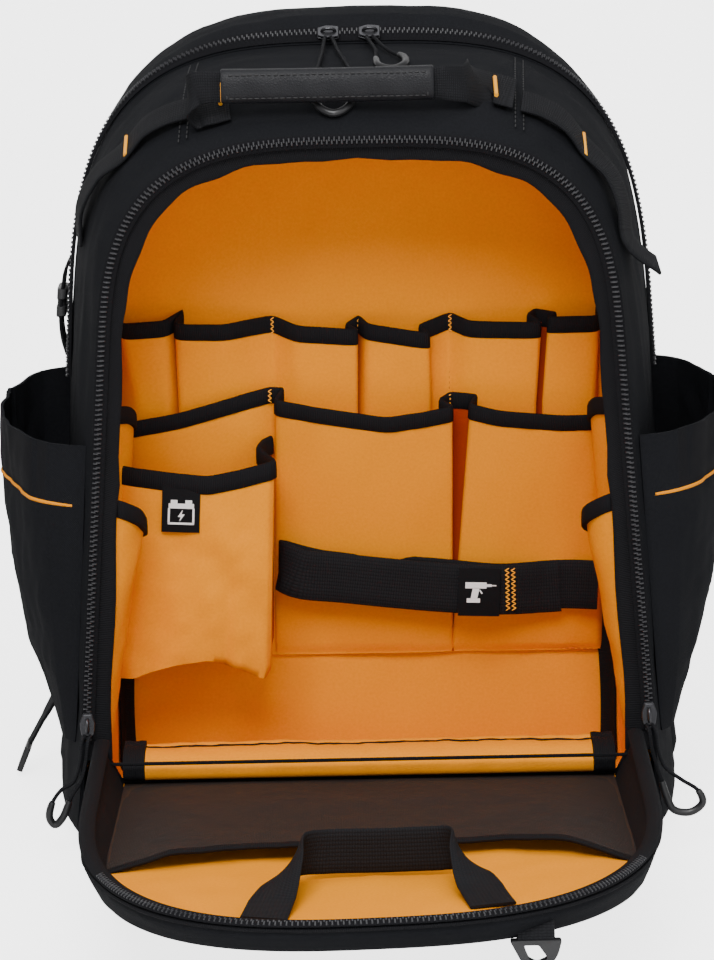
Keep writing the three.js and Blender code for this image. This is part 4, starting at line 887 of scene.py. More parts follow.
# Mouth facing: a strip of black cloth between the zip and the lining.
# It is sewn to both, a little longer than the arch, so that it gathers along its inner edge.
materials["binding"] = tape("binding", (0.004, 0.004, 0.005), (0.012, 0.012, 0.014), 0.0011, 0.8)
facing_outer = arch_part(inset(mouth_loop, cloth_wall + seam_gap), 56)
facing_rows = []
lining_edge = inset(loop_of(lining_outline(lining_front), lining_floor), lining_wall)
near_line, far_line = inset(lining_edge, 0.4), inset(lining_edge, 2.8)
along_edge = lengths(near_line)
waves = 0.5 + 0.3 * np.sin(along_edge / 11 + 1.3 * np.sin(along_edge / 31)) + 0.2 * np.sin(along_edge / 5.3)
facing_inner = arch_part(near_line + (far_line - near_line) * waves[:, None], 56)
for share, back in ((0, 1.6), (0.08, 1.2), (0.3, 1.4), (0.55, 1.9), (0.8, 2.4), (0.95, 2.6), (1.0, 3.4)):
    line = facing_outer * (1 - share) + facing_inner * share
    facing_rows.append([(x, front_y + back + lean_at(front_y, z), z) for x, z in line])
facing_grid = np.array(facing_rows)
facing_grid[1:6, :, 1] += 0.6 * ripple(facing_grid[1:6], 26, 44)
facing = cloth_sheet("mouth_facing_tape", facing_grid[::-1], 1.2, "binding")
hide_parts("mouth_facing")


# Corner tapes: black woven tape folded over the seams where the lining meets the panel.
# One runs up each rear corner of the compartment.
for label, side in (("left", -1), ("right", 1)):
    rows = []
    for z in np.linspace(lining_floor + 3, 150, 24):
        lean = 2 * math.sin(z / 30)
        rows.append([(side * (144 + lean), wall_y - 1.2, z), (side * (146 + lean), wall_y - 2.4, z),
                     (side * (149 + lean), wall_y - 3.4, z), (side * 153, wall_y - 9, z),
                     (side * 154, wall_y - 12, z)])
    corner = cloth_sheet(f"corner_tape_{label}", np.array(rows), 0.9 * -side, "binding", flip=True)


# Upper row: six orange cloth pockets for hand tools, made of one pleated strip.
# Its top edge is bound with black tape, and it is sewn to the panel between the pockets.

# Where the photograph was taken from, with the camera's pitch and slight roll
camera_place = Vector((-3.82, -2500.0, 763.7)) * MM
camera_pitch = math.radians(12.728)
camera_roll = math.radians(1.15)
ahead = Vector((0, math.cos(camera_pitch), -math.sin(camera_pitch)))
level = Vector((1, 0, 0))
upward = Vector((0, math.sin(camera_pitch), math.cos(camera_pitch)))
right_way = level * math.cos(camera_roll) - upward * math.sin(camera_roll)
up_way = upward * math.cos(camera_roll) + level * math.sin(camera_roll)

# Where a place in the photograph lies on a plane of constant Y, in millimetres
focal_px = 4174.5


def seen(px, py, y):
    ray = ahead + right_way * ((px - 357) / focal_px) - up_way * ((py - 480) / focal_px)
    point = camera_place + ray * ((y * MM - camera_place.y) / ray.y)
    return np.array(point) / MM


def spans(parts):
    steps = []
    for k in range(len(parts) - 1):
        steps += [k + s for s in np.linspace(0, 1, 9)[:-1]]
    return np.array(steps + [len(parts) - 1])


def spread_nodes(nodes, steps):
    nodes = np.asarray(nodes, float)
    low = np.minimum(steps.astype(int), len(nodes) - 2)
    return nodes[low] + (nodes[low + 1] - nodes[low]) * (steps - low)[:, None]


def soften(grid, passes=2):
    for _ in range(passes):
        grid[:, 1:-1] = (grid[:, :-2] + grid[:, 1:-1] * 2 + grid[:, 2:]) / 4
    return grid


# Stores on each point how much painted shade the orange cloth gets there
def mark_painted_shade(piece, values):
    layer = piece.data.attributes.new("painted_shade", "FLOAT", "POINT")
    layer.data.foreach_set("value", np.asarray(values, np.float32))


# Binding tape folded over the edge of a sheet: path along the edge, its outward side and its down side
def edge_binding(name, path, outward, down, height=11.0, half=1.4, top=0.9):
    path = np.asarray(path, float)
    outward = np.broadcast_to(np.asarray(outward, float), path.shape)
    down = np.broadcast_to(np.asarray(down, float), path.shape)
    profile = [(half * 0.75, height), (half * 1.05, height * 0.96), (half * 1.1, height * 0.5), (half, 1.0),
               (half * 0.55, -top * 0.8), (0, -top), (-half * 0.55, -top * 0.8), (-half, 1.0),
               (-half * 1.1, height * 0.5), (-half * 1.05, height * 0.96), (-half * 0.75, height)]
    rings = np.array([path + outward * out + down * low for out, low in profile]).transpose(1, 0, 2)
    return loft(name, rings, "binding", angle=70)


def side_of(path, towards=(0, -1, 0)):
    tangent = np.gradient(np.asarray(path, float), axis=0)
    tangent[:, 2] = 0
    side = np.cross(tangent, [0, 0, 1])
    side /= np.maximum(np.linalg.norm(side, axis=1, keepdims=True), 1e-9)
    for k in range(1, len(side)):
        if np.dot(side[k], side[k - 1]) < 0:
            side[k] = -side[k]
    if np.sum(side @ np.asarray(towards, float)) < 0:
        side = -side
    return side


def pleated(name, nodes, level_py, foot_z, foot_out, belly, seed):
    steps = spans(nodes)
    table = spread_nodes(nodes, steps)
    top = np.array([seen(px, py, wall_y - out) for px, py, out, _, _, _ in table])
    low = np.array([seen(px, level_py, wall_y - out) for _, _, _, px, out, _ in table])
    foot = low.copy()
    foot[:, 1] = wall_y - foot_out
    foot[:, 2] = foot_z
    rows = []
    for v in np.linspace(0, 1, 26):
        if foot_z < low[0][2] - 4:
            row = top + (low - top) * v / 0.5 if v < 0.5 else low + (foot - low) * (v - 0.5) / 0.5
        else:
            row = top + (low - top) * v
        rows.append(row)
    grid = soften(np.array(rows), 2)
    # The last column paints shade on the pleats' sides that lie in the shadow of the next pocket
    shade = table[:, 5]
    v = np.linspace(0, 1, 26)[:, None]
    grid[..., 1] -= belly * np.sin(np.pi * np.clip(v * 1.1, 0, 1)) * (1 - shade) * np.clip(table[:, 2] / 15, 0, 1)
    grid[..., 1] -= ((0.8 * ripple(grid * [1, 0, 0.5], 46, seed) + 0.3 * ripple(grid, 18, seed + 1))
                     * np.clip(table[:, 2] / 8, 0, 1))
    piece = cloth_sheet(name, grid[::-1], 1.3, "orange_lining", angle=80)
    painted_shade = np.tile(shade, (26, 1))[::-1].ravel()
    mark_painted_shade(piece, np.concatenate([painted_shade, painted_shade]))
    edge = grid[0]
    side = side_of(edge)
    for _ in range(2):
        side[1:-1] = (side[:-2] + side[1:-1] * 2 + side[2:]) / 4
    down = grid[3] - grid[0]
    down /= np.linalg.norm(down, axis=1, keepdims=True)
    tape_piece = edge_binding(f"{name}_tape", edge + side * 0.65, side, down, 9.5, 1.6)
    return piece, tape_piece


# Places round the pleats: across and up in the picture at the top edge, distance from the panel
# there, across below, distance below, how much painted shade the pleat's column gets
upper_nodes = [
    (113, 306, 1, 118, 1, 0.6), (121, 325, 15, 139, 9, 0.0), (163, 322, 15, 168, 9, 0.0),
    (184, 309.5, 0.6, 184, 0.6, 1.0), (175, 325, 17, 179.5, 10, 0.0), (222, 326, 18, 225, 9, 0.0),
    (272, 316, 0.6, 273, 0.6, 0.0), (298, 327, 12, 300, 7, 0.0), (358, 330.5, 15, 357.5, 9, 0.0),
    (345, 325, 8, 350, 4, 0.5), (358.7, 316, 0.6, 358, 0.6, 0.9),
    (368.5, 325, 12, 367.5, 7, 0.0), (429.5, 334, 14, 431, 8, 0.0), (417.5, 326, 7, 424, 4, 0.3),
    (449.8, 313, 0.6, 448, 0.6, 0.0),
    (470, 322, 11, 468, 7, 0.0), (542, 323.5, 16, 536, 9, 0.0), (527, 315, 8, 528, 5, 0.4),
    (534.8, 309.4, 0.6, 533, 0.6, 1.0),
    (557, 313, 6, 548, 4, 0.9), (548.7, 318, 13, 542.5, 8, 0.0), (598, 316.5, 13, 592, 8, 0.0),
    (597, 305, 1, 596, 1, 0.5),
]
upper, upper_tape = pleated("upper_row", upper_nodes, 405, 168, 1.0, 1.0, 51)
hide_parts("upper_pockets")
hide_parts("upper_binding")


# Lower row: the deeper pockets under the upper row, also one pleated strip of orange cloth.
# It is bound and sewn like the upper row, and carries a loop for the drill.
lower_left_nodes = [
    (103, 428, 20, 112, 1, 0.4), (177.5, 414.5, 22, 180, 2, 0.0), (249.7, 393.5, 19, 250, 2, 0.0),
    (270, 388, 17, 275, 1, 0.0),
]
lower_nodes = lower_left_nodes + [
    (284, 388.5, 19, 279, 1.5, 0.5), (275.6, 401, 30, 276, 2, 0.0), (319, 409, 36, 320, 3, 0.0),
    (387, 418.5, 38, 387, 3.5, 0.0),
    (424, 413, 37, 424, 3, 0.0), (452.6, 407, 35, 452, 2, 0.0), (438.7, 400, 27, 446, 1.5, 0.7),
    (449.8, 392.6, 17, 450, 1, 1.0), (477.5, 395, 20, 456, 1.2, 0.9), (471, 404.6, 33, 453, 2, 0.0),
    (500, 412, 37, 500, 3.5, 0.0), (562, 416.6, 38, 560, 3.5, 0.0), (604, 415, 34, 596, 2, 0.1),
    (606, 398, 17, 600, 1, 0.6),
]
lower, lower_tape = pleated("lower_row", lower_nodes, 640, 84, 1.0, 1.5, 55)
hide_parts("lower_pockets")
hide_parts("lower_binding")


# Pocket seams: orange thread through both rows where they are sewn to the panel.
# A short tight zigzag locks each seam over the black binding.
materials["piping"] = cloth("piping", (0.9, 0.27, 0.0), (1.0, 0.38, 0.01), 0.0009, 0.6, 0.4)
materials["thread"] = moulded("thread", (1.0, 0.34, 0.01), 0.5, 0.3)
# A darker copy of the orange thread, as painted shade, for seams that lie under the pockets' overhang
materials["painted_shade_thread"] = moulded("painted_shade_thread", (0.45, 0.09, 0.0), 0.6, 0.3)


# A tight zigzag of thread between two places on a plane of constant Y
def zigzag(name, x0, z0, x1, z1, y, width=2.2, pitch=1.3, finish="thread"):
    count = int(math.hypot(x1 - x0, z1 - z0) / pitch)
    line = []
    across = np.array([z1 - z0, 0, x0 - x1]) / math.hypot(x1 - x0, z1 - z0)
    for k in range(count + 1):
        t = k / count
        middle = np.array([blend(x0, x1, t), y, blend(z0, z1, t)])
        line.append(middle + across * width / 2 * (1 if k % 2 else -1))
    line = np.array(line)
    middles = (line[1:] + line[:-1]) / 2
    reach = float(np.mean(np.linalg.norm(np.diff(line, axis=0), axis=1)))
    return scatter(name, middles, np.diff(line, axis=0), np.tile([0, -1.0, 0], (len(middles), 1)),
                   thread(reach * 1.05, 0.75), finish)


for k, (px, top_py, low_py) in enumerate(((272, 317, 333), (358.5, 318, 330), (449.8, 314, 331))):
    top, low = seen(px, top_py, wall_y - 3), seen(px + 0.5, low_py, wall_y - 3)
    zigzag(f"row_zigzag_{k}", top[0], top[2], low[0], low[2], wall_y - 4.2)
for k, (px, top_py, low_py) in enumerate(((272.5, 334, 385), (449.5, 332, 390))):
    top, low = seen(px, top_py, wall_y - 2), seen(px, low_py, wall_y - 2)
    stitches(f"row_seam_{k}", [(top[0], wall_y - 2.4, top[2]), (low[0], wall_y - 2.6, low[2])], (0, -1, 0),
             "painted_shade_thread", 2.2, 1.0, 0.8, 0)
for k, (px, top_py, low_py) in enumerate(((269.8, 389, 402), (449.0, 394, 403))):
    top, low = seen(px, top_py, wall_y - 20), seen(px, low_py, wall_y - 20)
    zigzag(f"lower_zigzag_{k}", top[0], top[2], low[0], low[2], wall_y - 21.2)
seam_line = [(x, wall_y - 2.6, sewn_line_z(x) + 1.5) for x in np.linspace(-50, 142, 30)]
stitches("panel_seam", seam_line, (0, -1, 0), "painted_shade_thread", 2.6, 1.1, 0.8, 0)


# Battery bag: a deep slouching pocket of orange cloth at the left of the panel.
# It is folded under at its foot, stands away from the panel and has a bound edge.
# Places round its top and its foot: across and up in the picture, and Y
battery_top = [(103, 452, -1), (103, 463, -30), (108, 464, -42), (134, 469, -46), (172, 474, -48), (208, 477.5, -48),
               (240, 471, -47), (268, 463.5, -45), (273, 461, -42), (265, 455, -28), (257, 447, -20),
               (262, 441, -8), (270, 437, 0)]
battery_low = [(112, 630, 4), (116, 662, -30), (119, 675, -42), (134, 676, -46), (172, 664, -48), (208, 658, -48),
               (236, 667, -50), (264, 677, -47), (269, 668, -42), (270, 652, -25), (270, 645, -14), (271, 640, -4),
               (272, 636, 4)]
steps = spans(battery_top)
high = np.array([seen(*row) for row in spread_nodes(battery_top, steps)])
bottom = np.array([seen(*row) for row in spread_nodes(battery_low, steps)])
rows = []
for v in np.linspace(0, 1, 30):
    rows.append(high + (bottom - high) * v)
centre = np.array([-103, -14, 78.0])
for v in np.linspace(0.12, 0.95, 9):
    inner = bottom + (np.array([centre[0], 3, 88]) - bottom) * v * [0.55, 0.9, 0.35]
    inner[:, 2] += 3 * math.sin(v * 3.1)
    rows.append(inner)
bag_grid = soften(np.array(rows), 2)
share = np.linspace(0, 1.25, len(rows))[:, None]
facing_camera = np.clip((-25 - bag_grid[..., 1]) / 15, 0, 1)
bag_grid[..., 1] -= facing_camera * (3.5 * ripple(bag_grid * [1, 0, 0.45], 52, 61)
                                     + 1.0 * ripple(bag_grid, 24, 62)) * np.clip(share * 3, 0, 1)
crease = bell(bag_grid[..., 0] + 86 - 0.06 * (bag_grid[..., 2] - 90), 4) * np.clip(1.3 - bag_grid[..., 2] / 130, 0, 1)
bag_grid[..., 1] += 5 * crease * facing_camera
battery = cloth_sheet("battery_bag", bag_grid[::-1], 1.4, "orange_lining", angle=80)
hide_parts("battery_pocket")
# Painted shade: the bag's cloth turns dark red the nearer it lies to the panel, where less light reaches
depth_shade = np.clip((bag_grid[..., 1] + 40) / 40, 0, 1)[::-1].ravel()
mark_painted_shade(battery, np.concatenate([depth_shade, depth_shade]) * 0.9)
edge = bag_grid[0]
side = side_of(edge)
battery_tape = edge_binding("battery_tape", edge + side * 0.7, side, (0, 0, -1), 10.5, 1.7)
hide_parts("battery_binding")


# Battery label: a black woven tab sewn to the front of the bag.
# Its sign of a battery pack with a spark is our own, printed in white.
materials["label"] = cloth("label", (0.003, 0.003, 0.004), (0.008, 0.008, 0.009), 0.0006, 0.6, 0.2)
materials["label_print"] = moulded("label_print", (0.9, 0.9, 0.9), 0.55, 0.1)


# Flat printed shapes that lie on a tab
def flat_shape(name, outlines, place, tilt, depth, finish, lift):
    points, faces = [], []
    for outline in outlines:
        start = len(points)
        count = len(outline)
        for y in (0.0, -depth):
            points += [(x, y, z) for x, z in outline]
        faces.append(tuple(start + k for k in range(count)))
        faces.append(tuple(start + count + k for k in range(count))[::-1])
        faces += [(start + k, start + count + k, start + count + (k + 1) % count, start + (k + 1) % count)
                  for k in range(count)]
    turned = np.array(points)
    c, s = math.cos(tilt), math.sin(tilt)
    spot = np.stack([turned[:, 0] * c - turned[:, 2] * s, turned[:, 1] - lift, turned[:, 0] * s + turned[:, 2] * c],
                    axis=1)
    piece = new_piece(name, spot + np.asarray(place), faces, finish, spot[:, [0, 2]], 30)
    fix_normals(piece)
    return piece


def bar_shape(x0, z0, x1, z1, width):
    way = np.array([x1 - x0, z1 - z0])
    side = np.array([-way[1], way[0]]) / np.linalg.norm(way) * width / 2
    return [(x0 + side[0], z0 + side[1]), (x1 + side[0], z1 + side[1]), (x1 - side[0], z1 - side[1]),
            (x0 - side[0], z0 - side[1])]


def tab(name, place, width, height, tilt):
    rows = []
    for v in np.linspace(0, 1, 12):
        rows.append([(width * (s - 0.5), -0.5 - 0.8 * math.sin(v * 2.6) - 0.25 * math.sin(s * 3.1),
                      height * (0.5 - v))
                     for s in np.linspace(0, 1, 10)])
    grid = np.array(rows)
    c, s = math.cos(tilt), math.sin(tilt)
    grid = np.stack([grid[..., 0] * c - grid[..., 2] * s, grid[..., 1], grid[..., 0] * s + grid[..., 2] * c], axis=-1)
    return cloth_sheet(name, grid + np.asarray(place), 0.8, "label")


label_place = seen(181, 507, -49.5)
battery_tab = tab("battery_tab", label_place, 23, 31, math.radians(-3))
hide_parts("battery_label")
pack_signs = [bar_shape(-7.6, 5.4, 7.6, 5.4, 3.0), bar_shape(-6.4, 8.0, -2.4, 8.0, 2.2),
              bar_shape(2.4, 8.0, 6.4, 8.0, 2.2),
              bar_shape(-7.4, 4, -7.4, -5.2, 1.2), bar_shape(7.4, 4, 7.4, -5.2, 1.2),
              bar_shape(-7.9, -5.4, 7.9, -5.4, 1.2),
              [(0.9, 3.2), (-2.0, -1.3), (-0.2, -1.3), (-1.0, -4.2), (2.1, 0.3), (0.3, 0.3)]]
flat_shape("battery_sign", pack_signs, label_place + np.array([0, 0, -4.5]), math.radians(-3), 0.25, "label_print",
           1.55)


# Drill strap: two layers of black webbing folded at the left, the front one sewn down at the right.
# A drill is pushed through the loop. A woven tab with a sign of a drill, our own too, hangs on it.


# A flat band of webbing along a path, whose width may turn on the way
def ribbon(name, path, across, width, thick, finish, count=90, edge_lift=0.0):
    path = np.asarray(path, float)
    count = max(8, count)
    curve = curve_points(path, (len(path) - 1) * 24 + 1)
    stations = lengths(curve)[::24]
    dense = resample(curve, count)
    spread = lengths(dense)
    across = np.broadcast_to(np.asarray(across, float), path.shape)
    ways = np.stack([np.interp(spread, stations, across[:, k]) for k in range(3)], axis=1)
    widths = np.interp(spread, stations, np.broadcast_to(width, len(path)))
    along = np.gradient(dense, axis=0)
    along /= np.linalg.norm(along, axis=1, keepdims=True)
    ways -= along * np.sum(ways * along, axis=1, keepdims=True)
    ways /= np.linalg.norm(ways, axis=1, keepdims=True)
    out = np.cross(along, ways)
    profile = [(-0.5, -0.2), (-0.47, -0.5), (-0.25, -0.5), (0, -0.5), (0.25, -0.5), (0.47, -0.5), (0.5, -0.2),
               (0.5, 0.2), (0.47, 0.5), (0.25, 0.5), (0, 0.5), (-0.25, 0.5), (-0.47, 0.5), (-0.5, 0.2)]
    rings = np.array([dense + ways * (u * widths)[:, None] + out * (v * thick + edge_lift * (abs(u) - 0.25))
                      for u, v in profile])
    return loft(name, rings.transpose(1, 0, 2), finish, angle=60)


strap_nodes = [(598, 585, 3), (560, 584, 3), (500, 588, 3), (440, 583, 3), (380, 578, 3), (320, 574, 3),
               (284, 566, 1.5),
               (280, 565, -2), (284, 567, -5), (300, 574, -6.5), (340, 578, -7), (400, 584, -7), (450, 588, -7),
               (500, 590, -6.5), (530, 589, -2), (545, 588, 0.6), (560, 587, 0.7)]
strap_path = [seen(*node) for node in strap_nodes]
drill = ribbon("drill_webbing", strap_path, (0.02, 0, 1), 31, 1.9, "webbing", count=220)
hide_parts("drill_strap")
label_spot = seen(479, 592, -9.4)
drill_tab = tab("drill_tab", label_spot, 25.5, 30, math.radians(-2))
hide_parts("drill_label")
drill_signs = [bar_shape(-8, 4.6, 5.0, 4.6, 3.8), bar_shape(5.0, 4.6, 8.2, 4.6, 1.6),
               bar_shape(8.0, 4.6, 11.0, 4.6, 0.7),
               [(-3.4, 3.0), (0.8, 3.0), (-0.6, -3.6), (-4.6, -3.6)], bar_shape(-7.0, -5.0, 1.2, -5.0, 2.6),
               bar_shape(0.9, 1.6, 2.4, -0.6, 0.8)]
flat_shape("drill_sign", drill_signs, label_spot + np.array([-0.5, 0, 0]), math.radians(-2), 0.25, "label_print",
           1.55)
for k, px in enumerate((507, 513)):
    top, low = seen(px, 568, -7.5), seen(px + 1, 610, -7.5)
    zigzag(f"drill_bartack_{k}", top[0], top[2], low[0], low[2], -8.2, 2.6, 1.4)


# Wall pockets: a small orange pocket on each side wall of the compartment.
# Their bound top edges run to the panel, so each one looks like a wedge from the front.


def rounded(points, count, passes=2):
    dense = resample(points, count)
    for _ in range(passes):
        dense[1:-1] = (dense[:-2] + dense[1:-1] * 2 + dense[2:]) / 4
    return dense


for label, side in (("left", -1), ("right", 1)):
    rows, shares = [], np.linspace(0, 1, 22)
    for v in np.linspace(0, 1, 24):
        z = blend(62, 199 if side < 0 else 197, v)
        row = []
        for u in shares:
            y = blend(-104, -54, u)
            wall = half_at(lining_outline(y), z) - 2.4
            peak = math.sin(math.pi * u ** 0.85) ** 0.9
            out = (0.06 + 0.94 * v ** 1.1) * 17 * peak
            dip = -3 * peak + (14 * (1 - u) - 13 * u) * 1.0
            row.append((side * (wall - out), y, z + dip * v ** 3))
        rows.append(row)
    grid = np.array(rows)
    grid[..., 0] -= side * 0.8 * ripple(grid, 30, 71 + side)
    pocket = cloth_sheet(f"wall_pocket_{label}_sheet", grid[::-1] if side < 0 else grid, 1.2, "orange_lining",
                         angle=80)
    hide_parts(f"wall_pocket_{label}")
    out_way = np.tile([-side * 1.0, -0.3, 0.0], (len(shares), 1))
    edge_binding(f"wall_pocket_{label}_tape", grid[-1], out_way, (0, 0, -1), 10, 1.6)
    high = [(side * (half_at(lining_outline(y), z) - 3 - o), y, z) for y, z, o in
            ((-52, 258, 0), (-42, 256, 7), (-30, 250, 11), (-18, 243, 7), (-6, 240, 0))]
    edge_binding(f"high_pocket_{label}_tape", rounded(high, 20), (-side * 1.0, -0.3, 0), (0, 0, -1), 10, 1.5)
    drop = [[(p[0], p[1], p[2] - 4 - 60 * v) for p in rounded(high, 14)] for v in np.linspace(0, 1, 8)]
    drop = np.array(drop)
    drop[..., 0] += side * 4 * np.linspace(0, 1, 8)[:, None]
    cloth_sheet(f"high_pocket_{label}_sheet", drop if side < 0 else drop[::-1], 1.0, "orange_lining")


# Hinge lip: a padded orange roll along the foot of the mouth, over which the flap folds down.
# Its two ends are bound with black tape, and a black line is sewn into its top.


def lip_ring(x, grow):
    ring = []
    for depth, height in lip_section:
        place = np.array([x, lip_front_y + depth * lip_depth + (depth - 0.5) * grow * 2,
                          lip_bottom_z + height * (lip_height + grow)])
        ring.append(place)
    return ring


lip_half, lip_binding, lip_depth, lip_front_y = 133, 13, 41, -126
lip_bottom_z, lip_height = 46.3, 15
lip_section = [(0.02, 0.3), (0.04, 0.52), (0.1, 0.72), (0.18, 0.86), (0.28, 0.95), (0.4, 0.99), (0.5, 1.0),
               (0.6, 0.97),
               (0.68, 0.93), (0.72, 0.86), (0.76, 0.93), (0.86, 0.96), (0.94, 0.9), (0.98, 0.78), (1.0, 0.4),
               (0.9, 0.02), (0.7, 0.0), (0.5, 0.0), (0.3, 0.0), (0.12, 0.0), (0.04, 0.12)]
lip_rings = np.array([lip_ring(x, 0.0) for x in np.linspace(-lip_half, lip_half, 110)])
upper_side = np.clip((lip_rings[..., 2] - lip_bottom_z - 4) / 6, 0, 1)
lip_rings[..., 2] += upper_side * (0.7 * ripple(lip_rings, 55, 81) + 0.45 * ripple(lip_rings, 17, 82) - 0.6)
lip_rings[..., 1] -= upper_side * 0.6 * ripple(lip_rings, 30, 83)
lip_roll = loft("lip_roll", lip_rings, "orange_lining")
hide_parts("lip")
for label, side in (("left", -1), ("right", 1)):
    rings = [lip_ring(side * (lip_half + 0.3 + 12.7 * u), 0.9 + 0.25 * math.sin(9 * u))
             for u in np.linspace(0, 1, 14)]
    cap = loft(f"lip_end_{label}", rings, "binding", angle=60)
    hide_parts(f"lip_binding_{label}")
groove = lip_rings[:, 9] + [0, 0, 0.9]
loft("lip_groove_tape", np.array([groove + [0, dy, dz] for dy, dz in
     ((-1.5, 0.2), (-0.6, 0.6), (0.6, 0.6), (1.5, 0.2), (1.2, -0.8), (-1.2, -0.8))]).transpose(1, 0, 2), "binding")


# Flap tray: the outside of the flap, black padded cloth that lies face down on the floor.
# Its wall stands up all round to the rim. The underside rises to the tip, and all of it
# lies a little askew.


def askew(points):
    points = np.array(points, float)
    share = np.clip((flap_shoulder_y - points[..., 1]) / (flap_shoulder_y - flap_tip_y), 0, 1)
    points[..., 1] += flap_skew * points[..., 0] * share
    return points


def flap_half_at(y, inward):
    t = clamp01((flap_shoulder_y - y) / (flap_shoulder_y - (flap_tip_y + inward)))
    return (flap_half - inward) * max(0.0, 1 - t ** flap_power) ** (1 / flap_power)


def flap_loop(inward, hinge_inward, arc=44):
    half, tip, hinge = flap_half - inward, flap_tip_y + inward, flap_hinge_y - hinge_inward
    notch = lip_half + lip_binding + 1.2 - max(0.0, inward - 7)
    right = [(notch * s, hinge) for s in (0.25, 0.5, 0.75, 1.0)] + [(half, hinge - 3)]
    right += [(half, y) for y in np.linspace(hinge - 12, flap_shoulder_y, 20)]
    for k in range(1, arc):
        turn = math.pi / 2 * k / arc
        right.append((half * math.cos(turn) ** (2 / flap_power),
                      blend(flap_shoulder_y, tip, math.sin(turn) ** (2 / flap_power))))
    left = [(-x, y) for x, y in right[::-1]]
    return np.array([(0, hinge)] + right + [(0, tip)] + left)


def flap_floor_at(x, y):
    t = min(1.0, abs(x) / flap_half)
    front = blend(flap_shoulder_y, flap_tip_y, (1 - t ** flap_power) ** (1 / flap_power))
    return min(flap_tip_floor_z, max(0.0, flap_tip_floor_z - (y - front) * flap_under_slope))


def flap_rim_at(x, y):
    under = abs(x) < lip_half + lip_binding + 3 and y > flap_hinge_y - 8
    return lip_bottom_z - 0.9 if under else flap_rim_z


def tray_ring(inward, height):
    return [(x, y, height(flap_floor_at(x, y), flap_rim_at(x, y))) for x, y in flap_loop(inward, inward * 0.08)]


def raised(most, share, base=0.0):
    return lambda floor, rim: floor + base + min(most, (rim - floor) * share)


def outer_wall(share):
    return lambda floor, rim: blend(floor + min(14.0, (rim - floor) * 0.6), rim, share)


flap_half, flap_hinge_y, flap_shoulder_y, flap_tip_y = 161, -112.4, -250, -467
flap_power, flap_skew, flap_rim_z, flap_wall = 2.7, 0.07, 70, 2.2
flap_tip_floor_z, flap_under_slope, flap_edge_round = 58, 0.37, 14
flap_facing_width, flap_tip_facing = 15, 8
tray_rings = [tray_ring(flap_edge_round, raised(0, 0)), tray_ring(9, raised(0.8, 0.1)),
              tray_ring(4.9, raised(4, 0.25)),
              tray_ring(1.4, raised(9, 0.42))]
tray_rings += [tray_ring(0, outer_wall(share)) for share in (0, 0.25, 0.5, 0.75, 1)]
tray_rings += [tray_ring(flap_wall, outer_wall(1)), tray_ring(flap_wall, raised(15, 0.68)),
               tray_ring(4.9 + flap_wall, raised(4, 0.25, flap_wall)),
               tray_ring(flap_edge_round + flap_wall, raised(0, 0, flap_wall))]
tray_rings = np.array(tray_rings)
low_ring = tray_rings[0].copy()
soft_wall = np.array([0, 0.1, 0.4, 0.7, 1, 1, 1, 0.6, 0.2, 0, 0, 0, 0])[:, None]
outward = tray_rings - [0, -260, 0]
outward[..., 2] = 0
outward /= np.linalg.norm(outward, axis=2, keepdims=True)
sag = soft_wall * (1.2 * ripple(tray_rings, 80, 85) + 0.5 * ripple(tray_rings, 26, 86) - 0.5)
clear_of_hinge = np.clip((flap_hinge_y - 6 - tray_rings[..., 1]) / 12, 0, 1)
tray_rings += outward * (sag * clear_of_hinge)[..., None]
under_rings = []
for share in (0.12, 0.4, 0.7, 0.9):
    ring = low_ring * [share, share, 0] + [0, -250 * (1 - share), 0]
    ring[:, 2] = [flap_floor_at(flap_half_at(y, flap_edge_round), y) for y in ring[:, 1]]
    under_rings.append(ring)
over_rings = [ring + [0, 0, flap_wall] for ring in under_rings[::-1]]
tray = loft("tray", askew(np.concatenate([np.array(under_rings), tray_rings, np.array(over_rings)])), "black_cloth")
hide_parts("flap_tray")


# Flap lining: orange cloth inside the flap, sewn in round its edge.
# It sinks to a shallow bowl with a few soft folds.


# Orange lining of the flap, a shallow bowl with a few soft folds
def flap_lining_at(x, y):
    along = clamp01((flap_hinge_y - y) / (flap_hinge_y - flap_tip_y))
    across = abs(x) / flap_half
    return blend(44, 67, along) - 2.5 + 3.5 * across * across * along


flap_lining_front = flap_hinge_y - flap_wall - 2.5
rows = []
for share in np.concatenate([np.linspace(0, 0.9, 44), np.linspace(0.915, 1, 12)]):
    y = blend(flap_lining_front, flap_tip_y + flap_tip_facing + 1, share)
    width = flap_half_at(y, flap_tip_facing) - (flap_facing_width - flap_tip_facing) * (1 - share ** 6)
    half = max(6.0, width)
    rows.append([(s * half, y, flap_lining_at(s * half, y)) for s in np.linspace(-1, 1, 70)])
flap_grid = np.array(rows)
from_sides = np.clip((1 - np.abs(np.linspace(-1, 1, 70))) * 8, 0, 1)[None, :]
from_ends = np.clip((1 - np.linspace(0, 1, 56)) * 8, 0, 1)[:, None]
flap_fold = 1.4 * np.abs(ripple(flap_grid, 90, 87)) + 0.5 * np.abs(ripple(flap_grid, 34, 88))
flap_fold += (2.2 * bell(flap_grid[..., 0] + 96 + 0.35 * (flap_grid[..., 1] + 400), 7)
              * np.clip((-360 - flap_grid[..., 1]) / 30, 0, 1))
flap_grid[..., 2] -= from_sides * from_ends * flap_fold
flap_sheet = cloth_sheet("flap_sheet", askew(flap_grid), -1.4, "orange_lining")
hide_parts("flap_lining")


